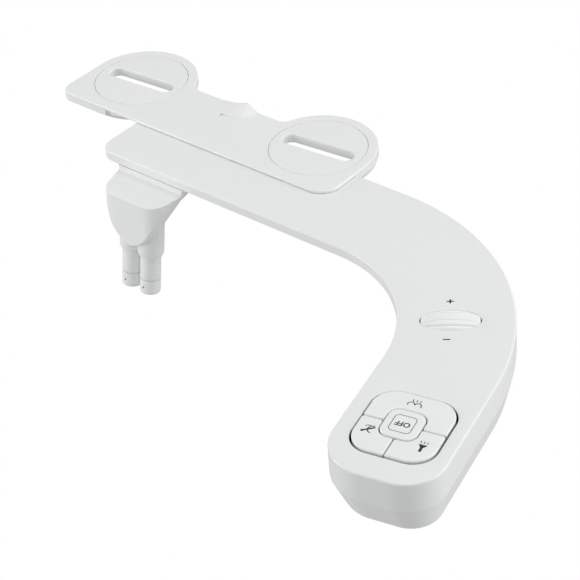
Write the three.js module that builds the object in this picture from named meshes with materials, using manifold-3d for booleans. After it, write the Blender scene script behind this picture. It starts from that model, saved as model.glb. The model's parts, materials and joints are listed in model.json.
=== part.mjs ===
// A slim water-powered bidet attachment that sits between a toilet bowl's rim and its seat.
// Sizes are in millimetres, +Z is up, and the origin is midway between the two seat bolts, on the rim.
// The body is a flat wing under the seat, a bend, and a deeper arm beside the bowl with the controls.

import * as THREE from 'three';
import { mergeVertices } from 'three/addons/utils/BufferGeometryUtils.js';
import Module from 'manifold-3d';

const wasm = await Module();
wasm.setup();

// Heights
const WING_TOP = 6;
const BRACKET_TOP = 8;
const BRACKET_UNDER = 2;
const BOX_BOTTOM = - 27;
const GAP = 0.3;

// Plan of the body: wing, bend and arm
const WING_LEFT = - 41;
const BEND_X = 139.3;
const BEND_Y = - 146.8;
const BEND_INNER = 77.6;
const BEND_OUTER = 138.6;
const ARM_SPLAY = THREE.MathUtils.degToRad( 12.87 );
const ARM_END = 257.8;
const ARM_INNER_CORNER = 25;
const ARM_OUTER_CORNER = 21;
const WING_CORNER = 10;
const WING_FRONT = BEND_Y + BEND_INNER;
const WING_REAR = BEND_Y + BEND_OUTER;
const BEND_OFFSET = BEND_X * Math.cos( ARM_SPLAY ) + BEND_Y * Math.sin( ARM_SPLAY );

// Shells
const WALL = 1.8;
const TOP_SKIN = 1.3;
const SHEET = 1.2;
const TUB_WALL = 2;
const EDGE_ROUND = 1.2;
const CEILING = WING_TOP - TOP_SKIN;
const TUB_FLOOR = BOX_BOTTOM + TUB_WALL;
const TAPER_IN = 5.4;
const TAPER_HEIGHT = 15.7;
const TUB_SHIFT = 1.9;
const BOX_START = THREE.MathUtils.degToRad( 52 );

// Mounting bracket and its two slotted discs
const BOLT_SPACING = 140;
const LOBE_R = 35;
const LOBE_CLEARANCE = 0.4;
const DISC_R = 29;
const LEDGE_R = 26;
const LEDGE_Z = 5;
const BRACKET_FRONT = - 36.8;
const BRACKET_REAR = 9.8;
const SLOT_LENGTH = 48;
const SLOT_WIDTH = 10;
const SLOT_TURN = { left: 4, right: 5.5 };
const PAD_THICK = BRACKET_UNDER - GAP;

// Key pad, in the arm's own axes: u across the arm, s along it
const PANEL_U = 211.9;
const PANEL_S = 219.2;
const WELL_WIDTH = 45.1;
const WELL_LENGTH = 47.3;
const WELL_CORNER = 13;
const KEY_GAP = 0.6;
const KEY_TOP = 6.7;
const KEY_UNDER = 2.6;
const CROSS_X = - 0.8;
const CROSS_Y = 0.6;
const CARRIER_FLOOR = - 1;

// Pressure wheel
const WHEEL_ANGLE = THREE.MathUtils.degToRad( 34.5 );
const WHEEL_RADIUS_AT = 105.2;
const WHEEL_HALF = 15.5;
const WHEEL_R = 11;
const WHEEL_DROP = 7.5;

// Nozzles: they lean forward, and each tip stands at NOZZLE_TIP at rest
const NOZZLE_LEAN = 0.182;
const NOZZLE_TIP = new THREE.Vector3( 0, - 88.2, - 67.9 );
const NOZZLE_SPACING = 14.4;
const NOZZLE_R = 6.15;
const SLEEVE_R = 7.85;
const SLEEVE_FROM = 25.2;
const SLEEVE_TO = 55;
const NOZZLE_LENGTH = 33;
const NOZZLE_TIP_LENGTH = 9.5;

const HOSE_R = 1.45;
const HOSE_LEVEL = ( SHEET + CEILING ) / 2;
const SUPPLY_HOSE_R = 3;
const FEED_ACROSS = 119;

// Materials
const plastic = ( colour, roughness = 0.32 ) => new THREE.MeshStandardMaterial( { color: colour, roughness, metalness: 0 } );
const WHITE = plastic( 0xeef0ef );
const KEY_WHITE = plastic( 0xf2f3f3, 0.28 );
const INNER_WHITE = plastic( 0xdcdfdd, 0.5 );
const GREY = plastic( 0x9da3a6, 0.5 );
const RUBBER = plastic( 0x2f3133, 0.8 );
const SOFT_WHITE = plastic( 0xd3d6d5, 0.7 );
const HOSE = plastic( 0xcfd8dc, 0.35 );
const STEEL = new THREE.MeshStandardMaterial( { color: 0xb9bcc0, roughness: 0.3, metalness: 1 } );
const BRASS = new THREE.MeshStandardMaterial( { color: 0xc2a05a, roughness: 0.3, metalness: 1 } );

// --- solids -------------------------------------------------------------------------------------

function solid( geometry ) {

	const bare = geometry.clone();
	bare.deleteAttribute( 'normal' );
	bare.deleteAttribute( 'uv' );
	const merged = mergeVertices( bare, 1e-4 );
	const vertProperties = new Float32Array( merged.attributes.position.array );
	const triVerts = new Uint32Array( merged.index.array );
	return new wasm.Manifold( new wasm.Mesh( { numProp: 3, vertProperties, triVerts } ) );

}

function geometryOf( body ) {

	const mesh = body.getMesh();
	const geometry = new THREE.BufferGeometry();
	geometry.setAttribute( 'position', new THREE.BufferAttribute( new Float32Array( mesh.vertProperties ), 3 ) );
	geometry.setIndex( new THREE.BufferAttribute( new Uint32Array( mesh.triVerts ), 1 ) );
	geometry.computeVertexNormals();
	return geometry;

}

const join = ( ...bodies ) => bodies.reduce( ( whole, body ) => whole.add( body ) );
const cut = ( body, ...tools ) => tools.reduce( ( whole, tool ) => whole.subtract( tool ), body );

function block( x0, x1, y0, y1, z0, z1 ) {

	const box = new THREE.BoxGeometry( x1 - x0, y1 - y0, z1 - z0 );
	return box.translate( ( x0 + x1 ) / 2, ( y0 + y1 ) / 2, ( z0 + z1 ) / 2 );

}

function post( radius, x, y, z0, z1, sides = 16 ) {

	const cylinder = new THREE.CylinderGeometry( radius, radius, z1 - z0, sides );
	return cylinder.rotateX( Math.PI / 2 ).translate( x, y, ( z0 + z1 ) / 2 );

}

function rod( radius, from, to, sides = 16 ) {

	const along = new THREE.Vector3().subVectors( to, from );
	const turn = new THREE.Quaternion().setFromUnitVectors( new THREE.Vector3( 0, 1, 0 ), along.clone().normalize() );
	const middle = new THREE.Vector3().addVectors( from, to ).multiplyScalar( 0.5 );
	const cylinder = new THREE.CylinderGeometry( radius, radius, along.length(), sides );
	return cylinder.applyQuaternion( turn ).translate( middle.x, middle.y, middle.z );

}

function prism( shape, z0, z1, curveSegments = 5 ) {

	const geometry = new THREE.ExtrudeGeometry( shape, { depth: z1 - z0, bevelEnabled: false, curveSegments } );
	return geometry.translate( 0, 0, z0 );

}

// A prism whose two ends are rounded in by `size` over `height`; the shape given is the end's own outline.
function roundedPrism( shape, z0, z1, size, height, steps = 2, curveSegments = 5 ) {

	const bevel = { bevelEnabled: true, bevelSize: size, bevelThickness: height, bevelSegments: steps };
	const geometry = new THREE.ExtrudeGeometry( shape, { depth: z1 - z0 - 2 * height, curveSegments, ...bevel } );
	return geometry.translate( 0, 0, z0 + height );

}

function roundedRectangle( width, height, corner, x = 0, y = 0 ) {

	const w = width / 2 - corner;
	const h = height / 2 - corner;
	const shape = new THREE.Shape();
	shape.moveTo( x + w, y - h - corner );
	shape.absarc( x + w, y - h, corner, - Math.PI / 2, 0 );
	shape.absarc( x + w, y + h, corner, 0, Math.PI / 2 );
	shape.absarc( x - w, y + h, corner, Math.PI / 2, Math.PI );
	shape.absarc( x - w, y - h, corner, Math.PI, 1.5 * Math.PI );
	shape.closePath();
	return shape;

}

function ring( inner, outer, z0, z1, segments = 24 ) {

	const corners = [ [ inner, z0 ], [ outer, z0 ], [ outer, z1 ], [ inner, z1 ], [ inner, z0 ] ];
	const profile = corners.map( ( [ r, z ] ) => new THREE.Vector2( r, z ) );
	return new THREE.LatheGeometry( profile, segments ).rotateX( Math.PI / 2 );

}

// A solid of revolution about Z, from [radius, z] corners that start and end on the axis.
function turned( corners, segments = 16 ) {

	const profile = corners.map( ( [ r, z ] ) => new THREE.Vector2( r, z ) );
	return new THREE.LatheGeometry( profile, segments ).rotateX( Math.PI / 2 );

}

function tube( points, radius, steps, sides = 8 ) {

	const path = new THREE.CatmullRomCurve3( points, false, 'centripetal' );
	const section = new THREE.Shape();
	section.absarc( 0, 0, radius, 0, 2 * Math.PI );
	const settings = { steps, bevelEnabled: false, extrudePath: path, curveSegments: sides / 2 };
	return new THREE.ExtrudeGeometry( section, settings );

}

class Helix extends THREE.Curve {

	constructor( radius, length, turns ) {

		super();
		this.radius = radius;
		this.length = length;
		this.turns = turns;

	}

	getPoint( t, target = new THREE.Vector3() ) {

		const angle = 2 * Math.PI * this.turns * t;
		return target.set( this.radius * Math.cos( angle ), this.radius * Math.sin( angle ), this.length * t );

	}

}

function spring( radius, wire, length, turns ) {

	const section = new THREE.Shape();
	section.absarc( 0, 0, wire, 0, 2 * Math.PI );
	const extrudePath = new Helix( radius, length - 2 * wire, turns );
	const settings = { steps: turns * 8, bevelEnabled: false, extrudePath, curveSegments: 2 };
	return new THREE.ExtrudeGeometry( section, settings ).translate( 0, 0, wire );

}

// --- the scene ----------------------------------------------------------------------------------

const bidet = new THREE.Group();
bidet.name = 'bidet_attachment';

function addPart( name, shape, material, parent = bidet ) {

	const geometry = shape.isBufferGeometry ? shape : geometryOf( shape );
	const mesh = new THREE.Mesh( geometry, material );
	mesh.name = name;
	parent.add( mesh );
	return mesh;

}

// A point in the arm's axes: u across the arm, s along it towards the free end
function armPoint( u, s, z = 0 ) {

	const c = Math.cos( ARM_SPLAY );
	const d = Math.sin( ARM_SPLAY );
	return new THREE.Vector3( c * u + d * s, d * u - c * s, z );

}

function bendPoint( radius, angle, z = 0 ) {

	return new THREE.Vector3( BEND_X + radius * Math.cos( angle ), BEND_Y + radius * Math.sin( angle ), z );

}

// Past the line across the bend at BOX_START, the body is deep: t is the distance beyond that line.
const ACROSS = new THREE.Vector3( Math.cos( BOX_START ), Math.sin( BOX_START ), 0 );
const ONWARD = new THREE.Vector3( Math.sin( BOX_START ), - Math.cos( BOX_START ), 0 );

function boxPoint( across, t, z ) {

	return new THREE.Vector3( BEND_X, BEND_Y, z ).addScaledVector( ACROSS, across ).addScaledVector( ONWARD, t );

}

// Turns a shape drawn in side view (y, z) and extruded 80 into place, centred on x = 0.
const sideFrame = new THREE.Matrix4().set( 0, 0, 1, - 40, 1, 0, 0, 0, 0, 1, 0, 0, 0, 0, 0, 1 );

// Turns a shape drawn across the bend (x) and up (y), and extruded onward (z), into place.
const boxFrame = new THREE.Matrix4().makeBasis( ACROSS, new THREE.Vector3( 0, 0, 1 ), ONWARD );
boxFrame.setPosition( BEND_X, BEND_Y, 0 );

function boxSlab( t0, t1, z0, z1 ) {

	return block( - 400, 400, z0, z1, t0, t1 ).applyMatrix4( boxFrame );

}

// The deep part in plan, set in by inset; its corner on the inside of the bend is cut off.
const CUT_FROM = 86;
const CUT_SLOPE = 1.4;

function deepZone( inset, z0, z1 ) {

	const side = CUT_FROM + inset * ( Math.hypot( 1, CUT_SLOPE ) - 1 ) / CUT_SLOPE;
	const shape = new THREE.Shape();
	shape.moveTo( side, inset );
	shape.lineTo( 400, inset );
	shape.lineTo( 400, 400 );
	shape.lineTo( side - ( 400 - inset ) / CUT_SLOPE, 400 );
	shape.closePath();
	const zone = new THREE.ExtrudeGeometry( shape, { depth: z1 - z0, bevelEnabled: false } );
	zone.rotateX( Math.PI / 2 ).translate( 0, z1, 0 );
	return zone.applyMatrix4( boxFrame );

}

// --- body shells --------------------------------------------------------------------------------

function bodyOutline( inset ) {

	const inner = BEND_INNER + inset;
	const outer = BEND_OUTER - inset;
	const left = WING_LEFT + WING_CORNER;
	const wingCorner = WING_CORNER - inset;
	const innerCorner = armPoint( BEND_OFFSET + BEND_INNER + ARM_INNER_CORNER, ARM_END - ARM_INNER_CORNER );
	const outerCorner = armPoint( BEND_OFFSET + BEND_OUTER - ARM_OUTER_CORNER, ARM_END - ARM_OUTER_CORNER );
	const quarter = Math.PI / 2;
	const shape = new THREE.Shape();
	shape.moveTo( BEND_X, BEND_Y + outer );
	shape.absarc( BEND_X, BEND_Y, outer, quarter, ARM_SPLAY, true );
	shape.absarc( outerCorner.x, outerCorner.y, ARM_OUTER_CORNER - inset, ARM_SPLAY, ARM_SPLAY - quarter, true );
	shape.absarc( innerCorner.x, innerCorner.y, ARM_INNER_CORNER - inset, ARM_SPLAY - quarter, ARM_SPLAY - 2 * quarter, true );
	shape.absarc( BEND_X, BEND_Y, inner, ARM_SPLAY, quarter );
	shape.absarc( left, WING_FRONT + WING_CORNER, wingCorner, - quarter, - 2 * quarter, true );
	shape.absarc( left, WING_REAR - WING_CORNER, wingCorner, 2 * quarter, quarter, true );
	shape.closePath();
	return shape;

}

// The wing is cut back round each bracket lobe, so that the discs stand clear of it.
function lobeNotches( extra ) {

	const radius = LOBE_R + LOBE_CLEARANCE + extra;
	return [ - 1, 1 ].map( ( side ) => solid( post( radius, side * BOLT_SPACING / 2, 0, - 60, 20, 36 ) ) );

}

// What lies below the seam between the covers: level with the wing's underside, then 14 and 16 below the top.
function belowSeam( drop ) {

	const shape = new THREE.Shape();
	shape.moveTo( - 400, - drop );
	shape.lineTo( 0, - drop );
	shape.lineTo( 0, WING_TOP - 13.4 - drop );
	shape.lineTo( 200, WING_TOP - 17.4 - drop );
	shape.lineTo( 200, - 60 );
	shape.lineTo( - 400, - 60 );
	const geometry = new THREE.ExtrudeGeometry( shape, { depth: 800, bevelEnabled: false } );
	geometry.translate( 0, 0, - 400 ).rotateX( Math.PI / 2 );
	return geometry.rotateZ( BOX_START - Math.PI / 2 ).translate( BEND_X, BEND_Y, 0 );

}

const panelTurn = new THREE.Matrix4().makeRotationZ( ARM_SPLAY ).setPosition( armPoint( PANEL_U, PANEL_S ) );
const wheelCentre = bendPoint( WHEEL_RADIUS_AT, WHEEL_ANGLE, WING_TOP - WHEEL_DROP );
const wheelTurn = new THREE.Matrix4().makeRotationZ( WHEEL_ANGLE ).setPosition( wheelCentre );

// The barrel's profile gives an elliptical opening in the flat top.
function barrelRadius( x, extra = 0 ) {

	const crown = ( WHEEL_R ** 2 - WHEEL_DROP ** 2 ) * Math.max( 0, 1 - ( x / WHEEL_HALF ) ** 2 );
	return Math.sqrt( WHEEL_DROP ** 2 + crown ) + extra;

}

function barrelProfile( half, extra, bore, steps = 6 ) {

	const profile = [ new THREE.Vector2( bore, - half ) ];
	for ( let i = 0; i <= steps; i ++ ) {

		const x = half * ( 2 * i / steps - 1 );
		profile.push( new THREE.Vector2( barrelRadius( x, extra ), x ) );

	}

	profile.push( new THREE.Vector2( bore, half ) );
	return profile;

}

const wheelWindow = new THREE.LatheGeometry( barrelProfile( WHEEL_HALF + 0.5, 0.45, 0 ), 36 );
wheelWindow.rotateZ( - Math.PI / 2 ).applyMatrix4( wheelTurn );

const coverScrews = [
	{ name: 'cover_screw_1', at: armPoint( PANEL_U, 247.9 ) },
	{ name: 'cover_screw_2', at: armPoint( 192.3, 188 ) },
	{ name: 'cover_screw_3', at: armPoint( 232.6, 188 ) },
	{ name: 'cover_screw_4', at: boxPoint( 89, 10, 0 ) },
	{ name: 'cover_screw_5', at: boxPoint( 128, 9, 0 ) },
];
const BOSS_R = 3.4;
const POST_R = 3.6;
const SINK_R = 2.9;
const BOSS_UNDER = - 4;
const HEAD_SEAT = - 8;
const hoodScrews = [ - 19, 19 ].map( ( x ) => new THREE.Vector3( x, - 61.5, 0 ) );

function makeTopCover() {

	const shell = solid( roundedPrism( bodyOutline( EDGE_ROUND ), - 20, WING_TOP, EDGE_ROUND, EDGE_ROUND ) );
	const shallow = solid( boxSlab( - 400, 40, - 60, 0 ) ).subtract( solid( deepZone( 0, - 61, 1 ) ) );
	const notched = cut( shell, ...lobeNotches( 0 ), solid( belowSeam( 0 ) ), shallow );
	const room = cut( solid( prism( bodyOutline( WALL ), - 40, CEILING ) ), ...lobeNotches( WALL ) );
	const well = prism( roundedRectangle( WELL_WIDTH, WELL_LENGTH, WELL_CORNER ), 0, 10 ).applyMatrix4( panelTurn );
	const hollow = cut( notched, room, solid( well ), solid( wheelWindow ) );
	const bosses = coverScrews.map( ( { at } ) => solid( post( BOSS_R, at.x, at.y, BOSS_UNDER, CEILING + 0.5, 12 ) ) );
	const pilots = coverScrews.map( ( { at } ) => solid( post( 1.3, at.x, at.y, BOSS_UNDER - 1, CEILING - 1, 8 ) ) );
	const hoodBosses = hoodScrews.map( ( at ) => solid( post( 3, at.x, at.y, 0, CEILING + 0.5, 12 ) ) );
	const hoodPilots = hoodScrews.map( ( at ) => solid( post( 1.3, at.x, at.y, - 1, CEILING - 0.9, 8 ) ) );
	const tongue = solid( block( - 12, 12, WING_REAR - 1, - 1, 3, 4.6 ) );
	const hook = solid( block( - 1.7, 1.7, - 4.7, - 1.3, 3, BRACKET_TOP - 0.7 ) );
	return cut( join( hollow, ...bosses, ...hoodBosses, tongue, hook ), ...pilots, ...hoodPilots );

}

// The tub stands a little further out, across the arm, at its floor than at its rim.
function leanTub( geometry ) {

	const way = armPoint( TUB_SHIFT, 0 );
	const position = geometry.attributes.position;
	for ( let i = 0; i < position.count; i ++ ) {

		const depth = Math.max( 0, BOX_BOTTOM + TAPER_HEIGHT - position.getZ( i ) ) / TAPER_HEIGHT;
		position.setX( i, position.getX( i ) + way.x * depth );
		position.setY( i, position.getY( i ) + way.y * depth );

	}

	return geometry;

}

const INLET_ACROSS = 108;
const INLET_Z = - 11;
const INLET_R = 10.4;

function makeBottomCover() {

	const outer = solid( leanTub( roundedPrism( bodyOutline( TAPER_IN ), BOX_BOTTOM, 30, TAPER_IN, TAPER_HEIGHT, 1 ) ) );
	const tubSolid = outer.intersect( solid( belowSeam( GAP ) ) ).intersect( solid( deepZone( GAP, - 60, 20 ) ) );
	const innerEnd = bodyOutline( TUB_WALL + TAPER_IN );
	const roomShape = roundedPrism( innerEnd, TUB_FLOOR, 30, TAPER_IN, TAPER_HEIGHT - TUB_WALL, 1 );
	const room = solid( leanTub( roomShape ) );
	const deepRoom = solid( deepZone( GAP + TUB_WALL, - 60, 40 ) );
	const tub = tubSolid.subtract( room.intersect( deepRoom ) );
	const inside = cut( solid( prism( bodyOutline( WALL + GAP ), - 30, SHEET ) ), ...lobeNotches( WALL + GAP ) );
	const rearWall = inside.intersect( solid( deepZone( GAP, - 15, 10 ) ) ).subtract( deepRoom );
	const sheet = inside.intersect( solid( boxSlab( - 400, 40, 0, 10 ) ) ).subtract( deepRoom );
	const posts = coverScrews.map( ( { at } ) => solid( post( POST_R, at.x, at.y, BOX_BOTTOM + 1, BOSS_UNDER - GAP, 10 ) ) );
	const bores = coverScrews.map( ( { at } ) => solid( post( 1.5, at.x, at.y, BOX_BOTTOM - 1, 0, 8 ) ) );
	const sinks = coverScrews.map( ( { at } ) => solid( post( SINK_R, at.x, at.y, BOX_BOTTOM - 1, HEAD_SEAT, 10 ) ) );
	const hoodHoles = hoodScrews.map( ( at ) => solid( post( 3 + GAP, at.x, at.y, - 1, SHEET + 1, 12 ) ) );
	const hoseDoor = solid( block( - 12, 12, - 66.5, - 53.5, - 1, SHEET + 1 ) );
	const inletHole = solid( rod( INLET_R + GAP, boxPoint( INLET_ACROSS, - 5, INLET_Z ), boxPoint( INLET_ACROSS, 5, INLET_Z ), 24 ) );
	const whole = join( tub, rearWall, sheet, ...posts );
	return cut( whole, ...bores, ...sinks, ...hoodHoles, hoseDoor, inletHole );

}

addPart( 'top_cover', makeTopCover(), WHITE );
addPart( 'bottom_cover', makeBottomCover(), WHITE );
for ( const { name, at } of coverScrews ) {

	const head = [ [ 0, HEAD_SEAT - 2 ], [ 2.6, HEAD_SEAT - 2 ], [ 2.6, HEAD_SEAT - GAP ], [ 1, HEAD_SEAT - GAP ] ];
	addPart( name, turned( [ ...head, [ 1, 2 ], [ 0, 2.6 ] ], 8 ), STEEL ).position.copy( at );

}

// --- bracket, discs and pads --------------------------------------------------------------------

function bracketOutline() {

	const fillet = 5;
	const half = BOLT_SPACING / 2;
	const edge = half + LOBE_R;
	const filletY = BRACKET_REAR + fillet;
	const reach = Math.sqrt( ( LOBE_R + fillet ) ** 2 - filletY ** 2 );
	const tangent = Math.atan2( filletY, reach );
	const shape = new THREE.Shape();
	shape.moveTo( - edge + 8, BRACKET_FRONT );
	shape.absarc( edge - 12, BRACKET_FRONT + 12, 12, - Math.PI / 2, 0 );
	shape.absarc( half, 0, LOBE_R, 0, Math.PI - tangent );
	shape.absarc( half - reach, filletY, fillet, - tangent, - Math.PI / 2, true );
	shape.absarc( reach - half, filletY, fillet, - Math.PI / 2, tangent - Math.PI, true );
	shape.absarc( - half, 0, LOBE_R, tangent, Math.PI );
	shape.absarc( - edge + 8, BRACKET_FRONT + 8, 8, Math.PI, 1.5 * Math.PI );
	shape.closePath();
	return shape;

}

// The release tab on the rear edge: a low skewed ridge, steep on its right flank.
function releaseTab() {

	const shape = new THREE.Shape();
	shape.moveTo( - 10, BRACKET_TOP - 1 );
	shape.lineTo( - 10, BRACKET_TOP );
	shape.bezierCurveTo( - 2, BRACKET_TOP + 1, 3, BRACKET_TOP + 3, 7, BRACKET_TOP + 4.8 );
	shape.bezierCurveTo( 10, BRACKET_TOP + 5.6, 12, BRACKET_TOP + 4.4, 13.5, BRACKET_TOP + 1.6 );
	shape.lineTo( 17, BRACKET_TOP );
	shape.lineTo( 17, BRACKET_TOP - 1 );
	const ridge = new THREE.ExtrudeGeometry( shape, { depth: 12, bevelEnabled: false, curveSegments: 4 } );
	ridge.rotateX( Math.PI / 2 ).translate( 0, BRACKET_REAR, 0 );
	const slope = new THREE.Shape();
	slope.moveTo( BRACKET_REAR - 12.5, BRACKET_TOP - 2 );
	slope.lineTo( BRACKET_REAR - 12.5, BRACKET_TOP );
	slope.lineTo( BRACKET_REAR - 2, BRACKET_TOP + 5.2 );
	slope.lineTo( BRACKET_REAR, BRACKET_TOP + 5.2 );
	slope.lineTo( BRACKET_REAR, BRACKET_TOP - 2 );
	const wedge = new THREE.ExtrudeGeometry( slope, { depth: 80, bevelEnabled: false } );
	return solid( ridge ).intersect( solid( wedge.applyMatrix4( sideFrame ) ) );

}

function makeBracket() {

	const half = BOLT_SPACING / 2;
	const lip = WING_TOP + GAP;
	const plate = solid( prism( bracketOutline(), BRACKET_UNDER, BRACKET_TOP ) );
	const channel = solid( block( - 66, 120, - 50, WING_REAR + GAP, 0, lip ) );
	const lobes = [ - half, half ].map( ( x ) => solid( post( LOBE_R, x, 0, BRACKET_UNDER, BRACKET_TOP - 0.5, 36 ) ) );
	const wingRelief = solid( block( - 120, - 66, - 50, - 24, 0, BRACKET_TOP - 4.3 ) );
	const body = join( cut( plate, channel, wingRelief ), ...lobes, releaseTab() );
	const seats = [ - half, half ].flatMap( ( x ) => [
		solid( post( DISC_R + GAP, x, 0, LEDGE_Z, 20, 36 ) ),
		solid( post( LEDGE_R + GAP, x, 0, 0, 20, 36 ) ),
	] );
	const pocket = solid( block( - 12.5, 12.5, WING_REAR - 1, - 0.6, 0, 4.9 ) );
	const window = solid( block( - 2, 2, - 5, - 1, 0, 12 ) );
	return cut( body, ...seats, pocket, window );

}

function makeDisc( turn ) {

	const flange = solid( roundedDisc( DISC_R, LEDGE_Z + GAP, BRACKET_TOP ) );
	const boss = solid( post( LEDGE_R, 0, 0, BRACKET_UNDER + GAP, LEDGE_Z + 1, 36 ) );
	const slot = prism( roundedRectangle( SLOT_LENGTH, SLOT_WIDTH, SLOT_WIDTH / 2 - 0.01 ), 0, 12, 3 );
	return join( flange, boss ).subtract( solid( slot.rotateZ( THREE.MathUtils.degToRad( turn ) ) ) );

}

function roundedDisc( radius, z0, z1 ) {

	const corners = [ [ 0, z0 ], [ radius, z0 ], [ radius, z1 - 0.5 ], [ radius - 0.5, z1 ], [ 0, z1 ] ];
	return turned( corners, 36 );

}

addPart( 'mounting_bracket', makeBracket(), WHITE );
for ( const [ side, turn ] of Object.entries( SLOT_TURN ) ) {

	const x = ( side === 'left' ? - 1 : 1 ) * BOLT_SPACING / 2;
	addPart( side + '_mount_disc', makeDisc( turn ), WHITE ).position.x = x;
	addPart( side + '_rim_pad', ring( LEDGE_R + 1.5, LOBE_R - 1, 0, PAD_THICK, 24 ), SOFT_WHITE ).position.x = x;

}

addPart( 'centre_rim_pad', prism( roundedRectangle( 40, 13, 3, 0, 1 ), 0, PAD_THICK, 3 ), SOFT_WHITE );

// --- keys, latch and valve ----------------------------------------------------------------------

const panel = new THREE.Group();
panel.applyMatrix4( panelTurn );
bidet.add( panel );

const washHoses = [
	{ name: 'front_wash_hose', across: 95, x: NOZZLE_SPACING / 2 },
	{ name: 'self_clean_hose', across: 100, x: 0 },
	{ name: 'rear_wash_hose', across: 105, x: - NOZZLE_SPACING / 2 },
];
const STEM_R = 2.5;
const STEM_UNDER = - 5;
const SPOOL_R = 2;
const SPOOL_UNDER = - 15;
const HEAD_UNDER = - 6.4;
const CAP_TOP = - 11;
const CAP_UNDER = - 12.2;
const BLOCK_TOP = - 12.5;
const BLOCK_UNDER = TUB_FLOOR + GAP;
const BLOCK_REAR = 21;
const OFF_SIZE = { width: 19.1, length: 20, corner: 5.5 };

const keyStems = {
	front_wash: [ CROSS_X, 15 ],
	self_clean: [ - 13.5, - 9.5 ],
	rear_wash: [ 12.5, - 9.5 ],
	off: [ CROSS_X, CROSS_Y ],
};

function outerKeys() {

	const width = WELL_WIDTH - 2 * KEY_GAP - 1.6;
	const length = WELL_LENGTH - 2 * KEY_GAP - 1.6;
	const corner = WELL_CORNER - KEY_GAP - 0.8;
	const pad = solid( roundedPrism( roundedRectangle( width, length, corner ), KEY_UNDER, KEY_TOP, 0.8, 0.8 ) );
	const offHole = roundedRectangle( OFF_SIZE.width + 1.4, OFF_SIZE.length + 1.4, OFF_SIZE.corner + 0.7, CROSS_X, CROSS_Y );
	return pad.subtract( solid( prism( offHole, - 10, 20, 4 ) ) );

}

const keyPad = outerKeys();
const halfGap = KEY_GAP / 2;
const keyFields = {
	front_wash: block( - 40, 40, CROSS_Y + halfGap, 40, - 10, 20 ),
	self_clean: block( - 40, CROSS_X - halfGap, - 40, CROSS_Y - halfGap, - 10, 20 ),
	rear_wash: block( CROSS_X + halfGap, 40, - 40, CROSS_Y - halfGap, - 10, 20 ),
};

for ( const [ name, field ] of Object.entries( keyFields ) ) {

	const [ x, y ] = keyStems[ name ];
	const stem = solid( post( STEM_R, x, y, STEM_UNDER, KEY_UNDER + 0.5, 12 ) );
	addPart( name + '_key', join( keyPad.intersect( solid( field ) ), stem ), KEY_WHITE, panel );

}

const offOutline = roundedRectangle( OFF_SIZE.width - 1.2, OFF_SIZE.length - 1.2, OFF_SIZE.corner - 0.6, CROSS_X, CROSS_Y );
const offCap = solid( roundedPrism( offOutline, KEY_UNDER, KEY_TOP + 0.2, 0.6, 0.6, 1, 3 ) );
const offStem = solid( post( STEM_R, CROSS_X, CROSS_Y, STEM_UNDER, KEY_UNDER + 0.5, 12 ) );
addPart( 'off_key', join( offCap, offStem ), KEY_WHITE, panel );

for ( const [ name, [ x, y ] ] of Object.entries( keyStems ) ) {

	const top = STEM_UNDER - GAP;
	const corners = [ [ 0, SPOOL_UNDER ], [ SPOOL_R, SPOOL_UNDER ], [ SPOOL_R, HEAD_UNDER ], [ 3.4, HEAD_UNDER ] ];
	const spool = addPart( name + '_plunger', turned( [ ...corners, [ 3.4, top ], [ 0, top ] ], 12 ), GREY, panel );
	spool.position.set( x, y, 0 );
	const springLength = HEAD_UNDER - CAP_TOP - 2 * GAP;
	const coil = addPart( name + '_spring', spring( 2.9, 0.3, springLength, 4 ), STEEL, panel );
	coil.position.set( x, y, CAP_TOP + GAP );

}

function makeCarrier() {

	const rim = WELL_CORNER + 1.5;
	const outer = prism( roundedRectangle( WELL_WIDTH + 3, WELL_LENGTH + 3, rim ), CARRIER_FLOOR - 2, CEILING - GAP, 3 );
	const inner = prism( roundedRectangle( WELL_WIDTH + 0.2, WELL_LENGTH + 0.2, WELL_CORNER ), CARRIER_FLOOR, 20, 3 );
	const holes = Object.values( keyStems ).map( ( [ x, y ] ) => solid( post( STEM_R + GAP, x, y, - 10, 0, 10 ) ) );
	const legs = [ [ - 17, 17 ], [ 17, 17 ], [ - 17, - 17 ], [ 17, - 17 ] ].map( ( [ x, y ] ) =>
		solid( post( 2, x, y, CAP_TOP + GAP, CARRIER_FLOOR - 1, 8 ) ) );
	return join( cut( solid( outer ), solid( inner ), ...holes ), ...legs );

}

// The latch plate slides across under the carrier and holds a pressed key until the off key moves it.
function makeLatchPlate() {

	const plate = solid( block( - 19, 17.4, - 13.5, 14, - 4.6, - 3.4 ) );
	const ends = solid( block( - 8, 6, 13, 20, - 4.6, - 3.4 ) );
	const slots = Object.values( keyStems ).map( ( [ x, y ] ) =>
		solid( prism( roundedRectangle( 9, 5.8, 2.8, x - 0.75, y ), - 10, 0, 2 ) ) );
	return cut( join( plate, ends ), ...slots );

}

function makeValveBlock() {

	const body = solid( prism( roundedRectangle( 40, 40, 3, 0, 1 ), BLOCK_UNDER, BLOCK_TOP, 2 ) );
	const bores = Object.values( keyStems ).map( ( [ x, y ] ) => solid( post( SPOOL_R + GAP, x, y, - 18.6, 0, 12 ) ) );
	const collars = washHoses.map( ( { across } ) => hoseCollar( 2, BEND_OFFSET + across - PANEL_U ) );
	const pilots = [ [ - 16, 8 ], [ 16, 8 ] ].map( ( [ x, y ] ) => solid( post( 1.3, x, y, - 18, 0, 8 ) ) );
	return cut( join( body, ...collars, hoseCollar( SUPPLY_HOSE_R + 0.4, BEND_OFFSET + FEED_ACROSS - PANEL_U ) ), ...bores, ...pilots );

}

const VALVE_PORT_Z = - 16.5;
function hoseCollar( radius, x ) {

	const from = new THREE.Vector3( x, BLOCK_REAR - 1, VALVE_PORT_Z );
	return solid( rod( radius, from, from.clone().setY( BLOCK_REAR + 2.5 ), 12 ) );

}

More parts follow.
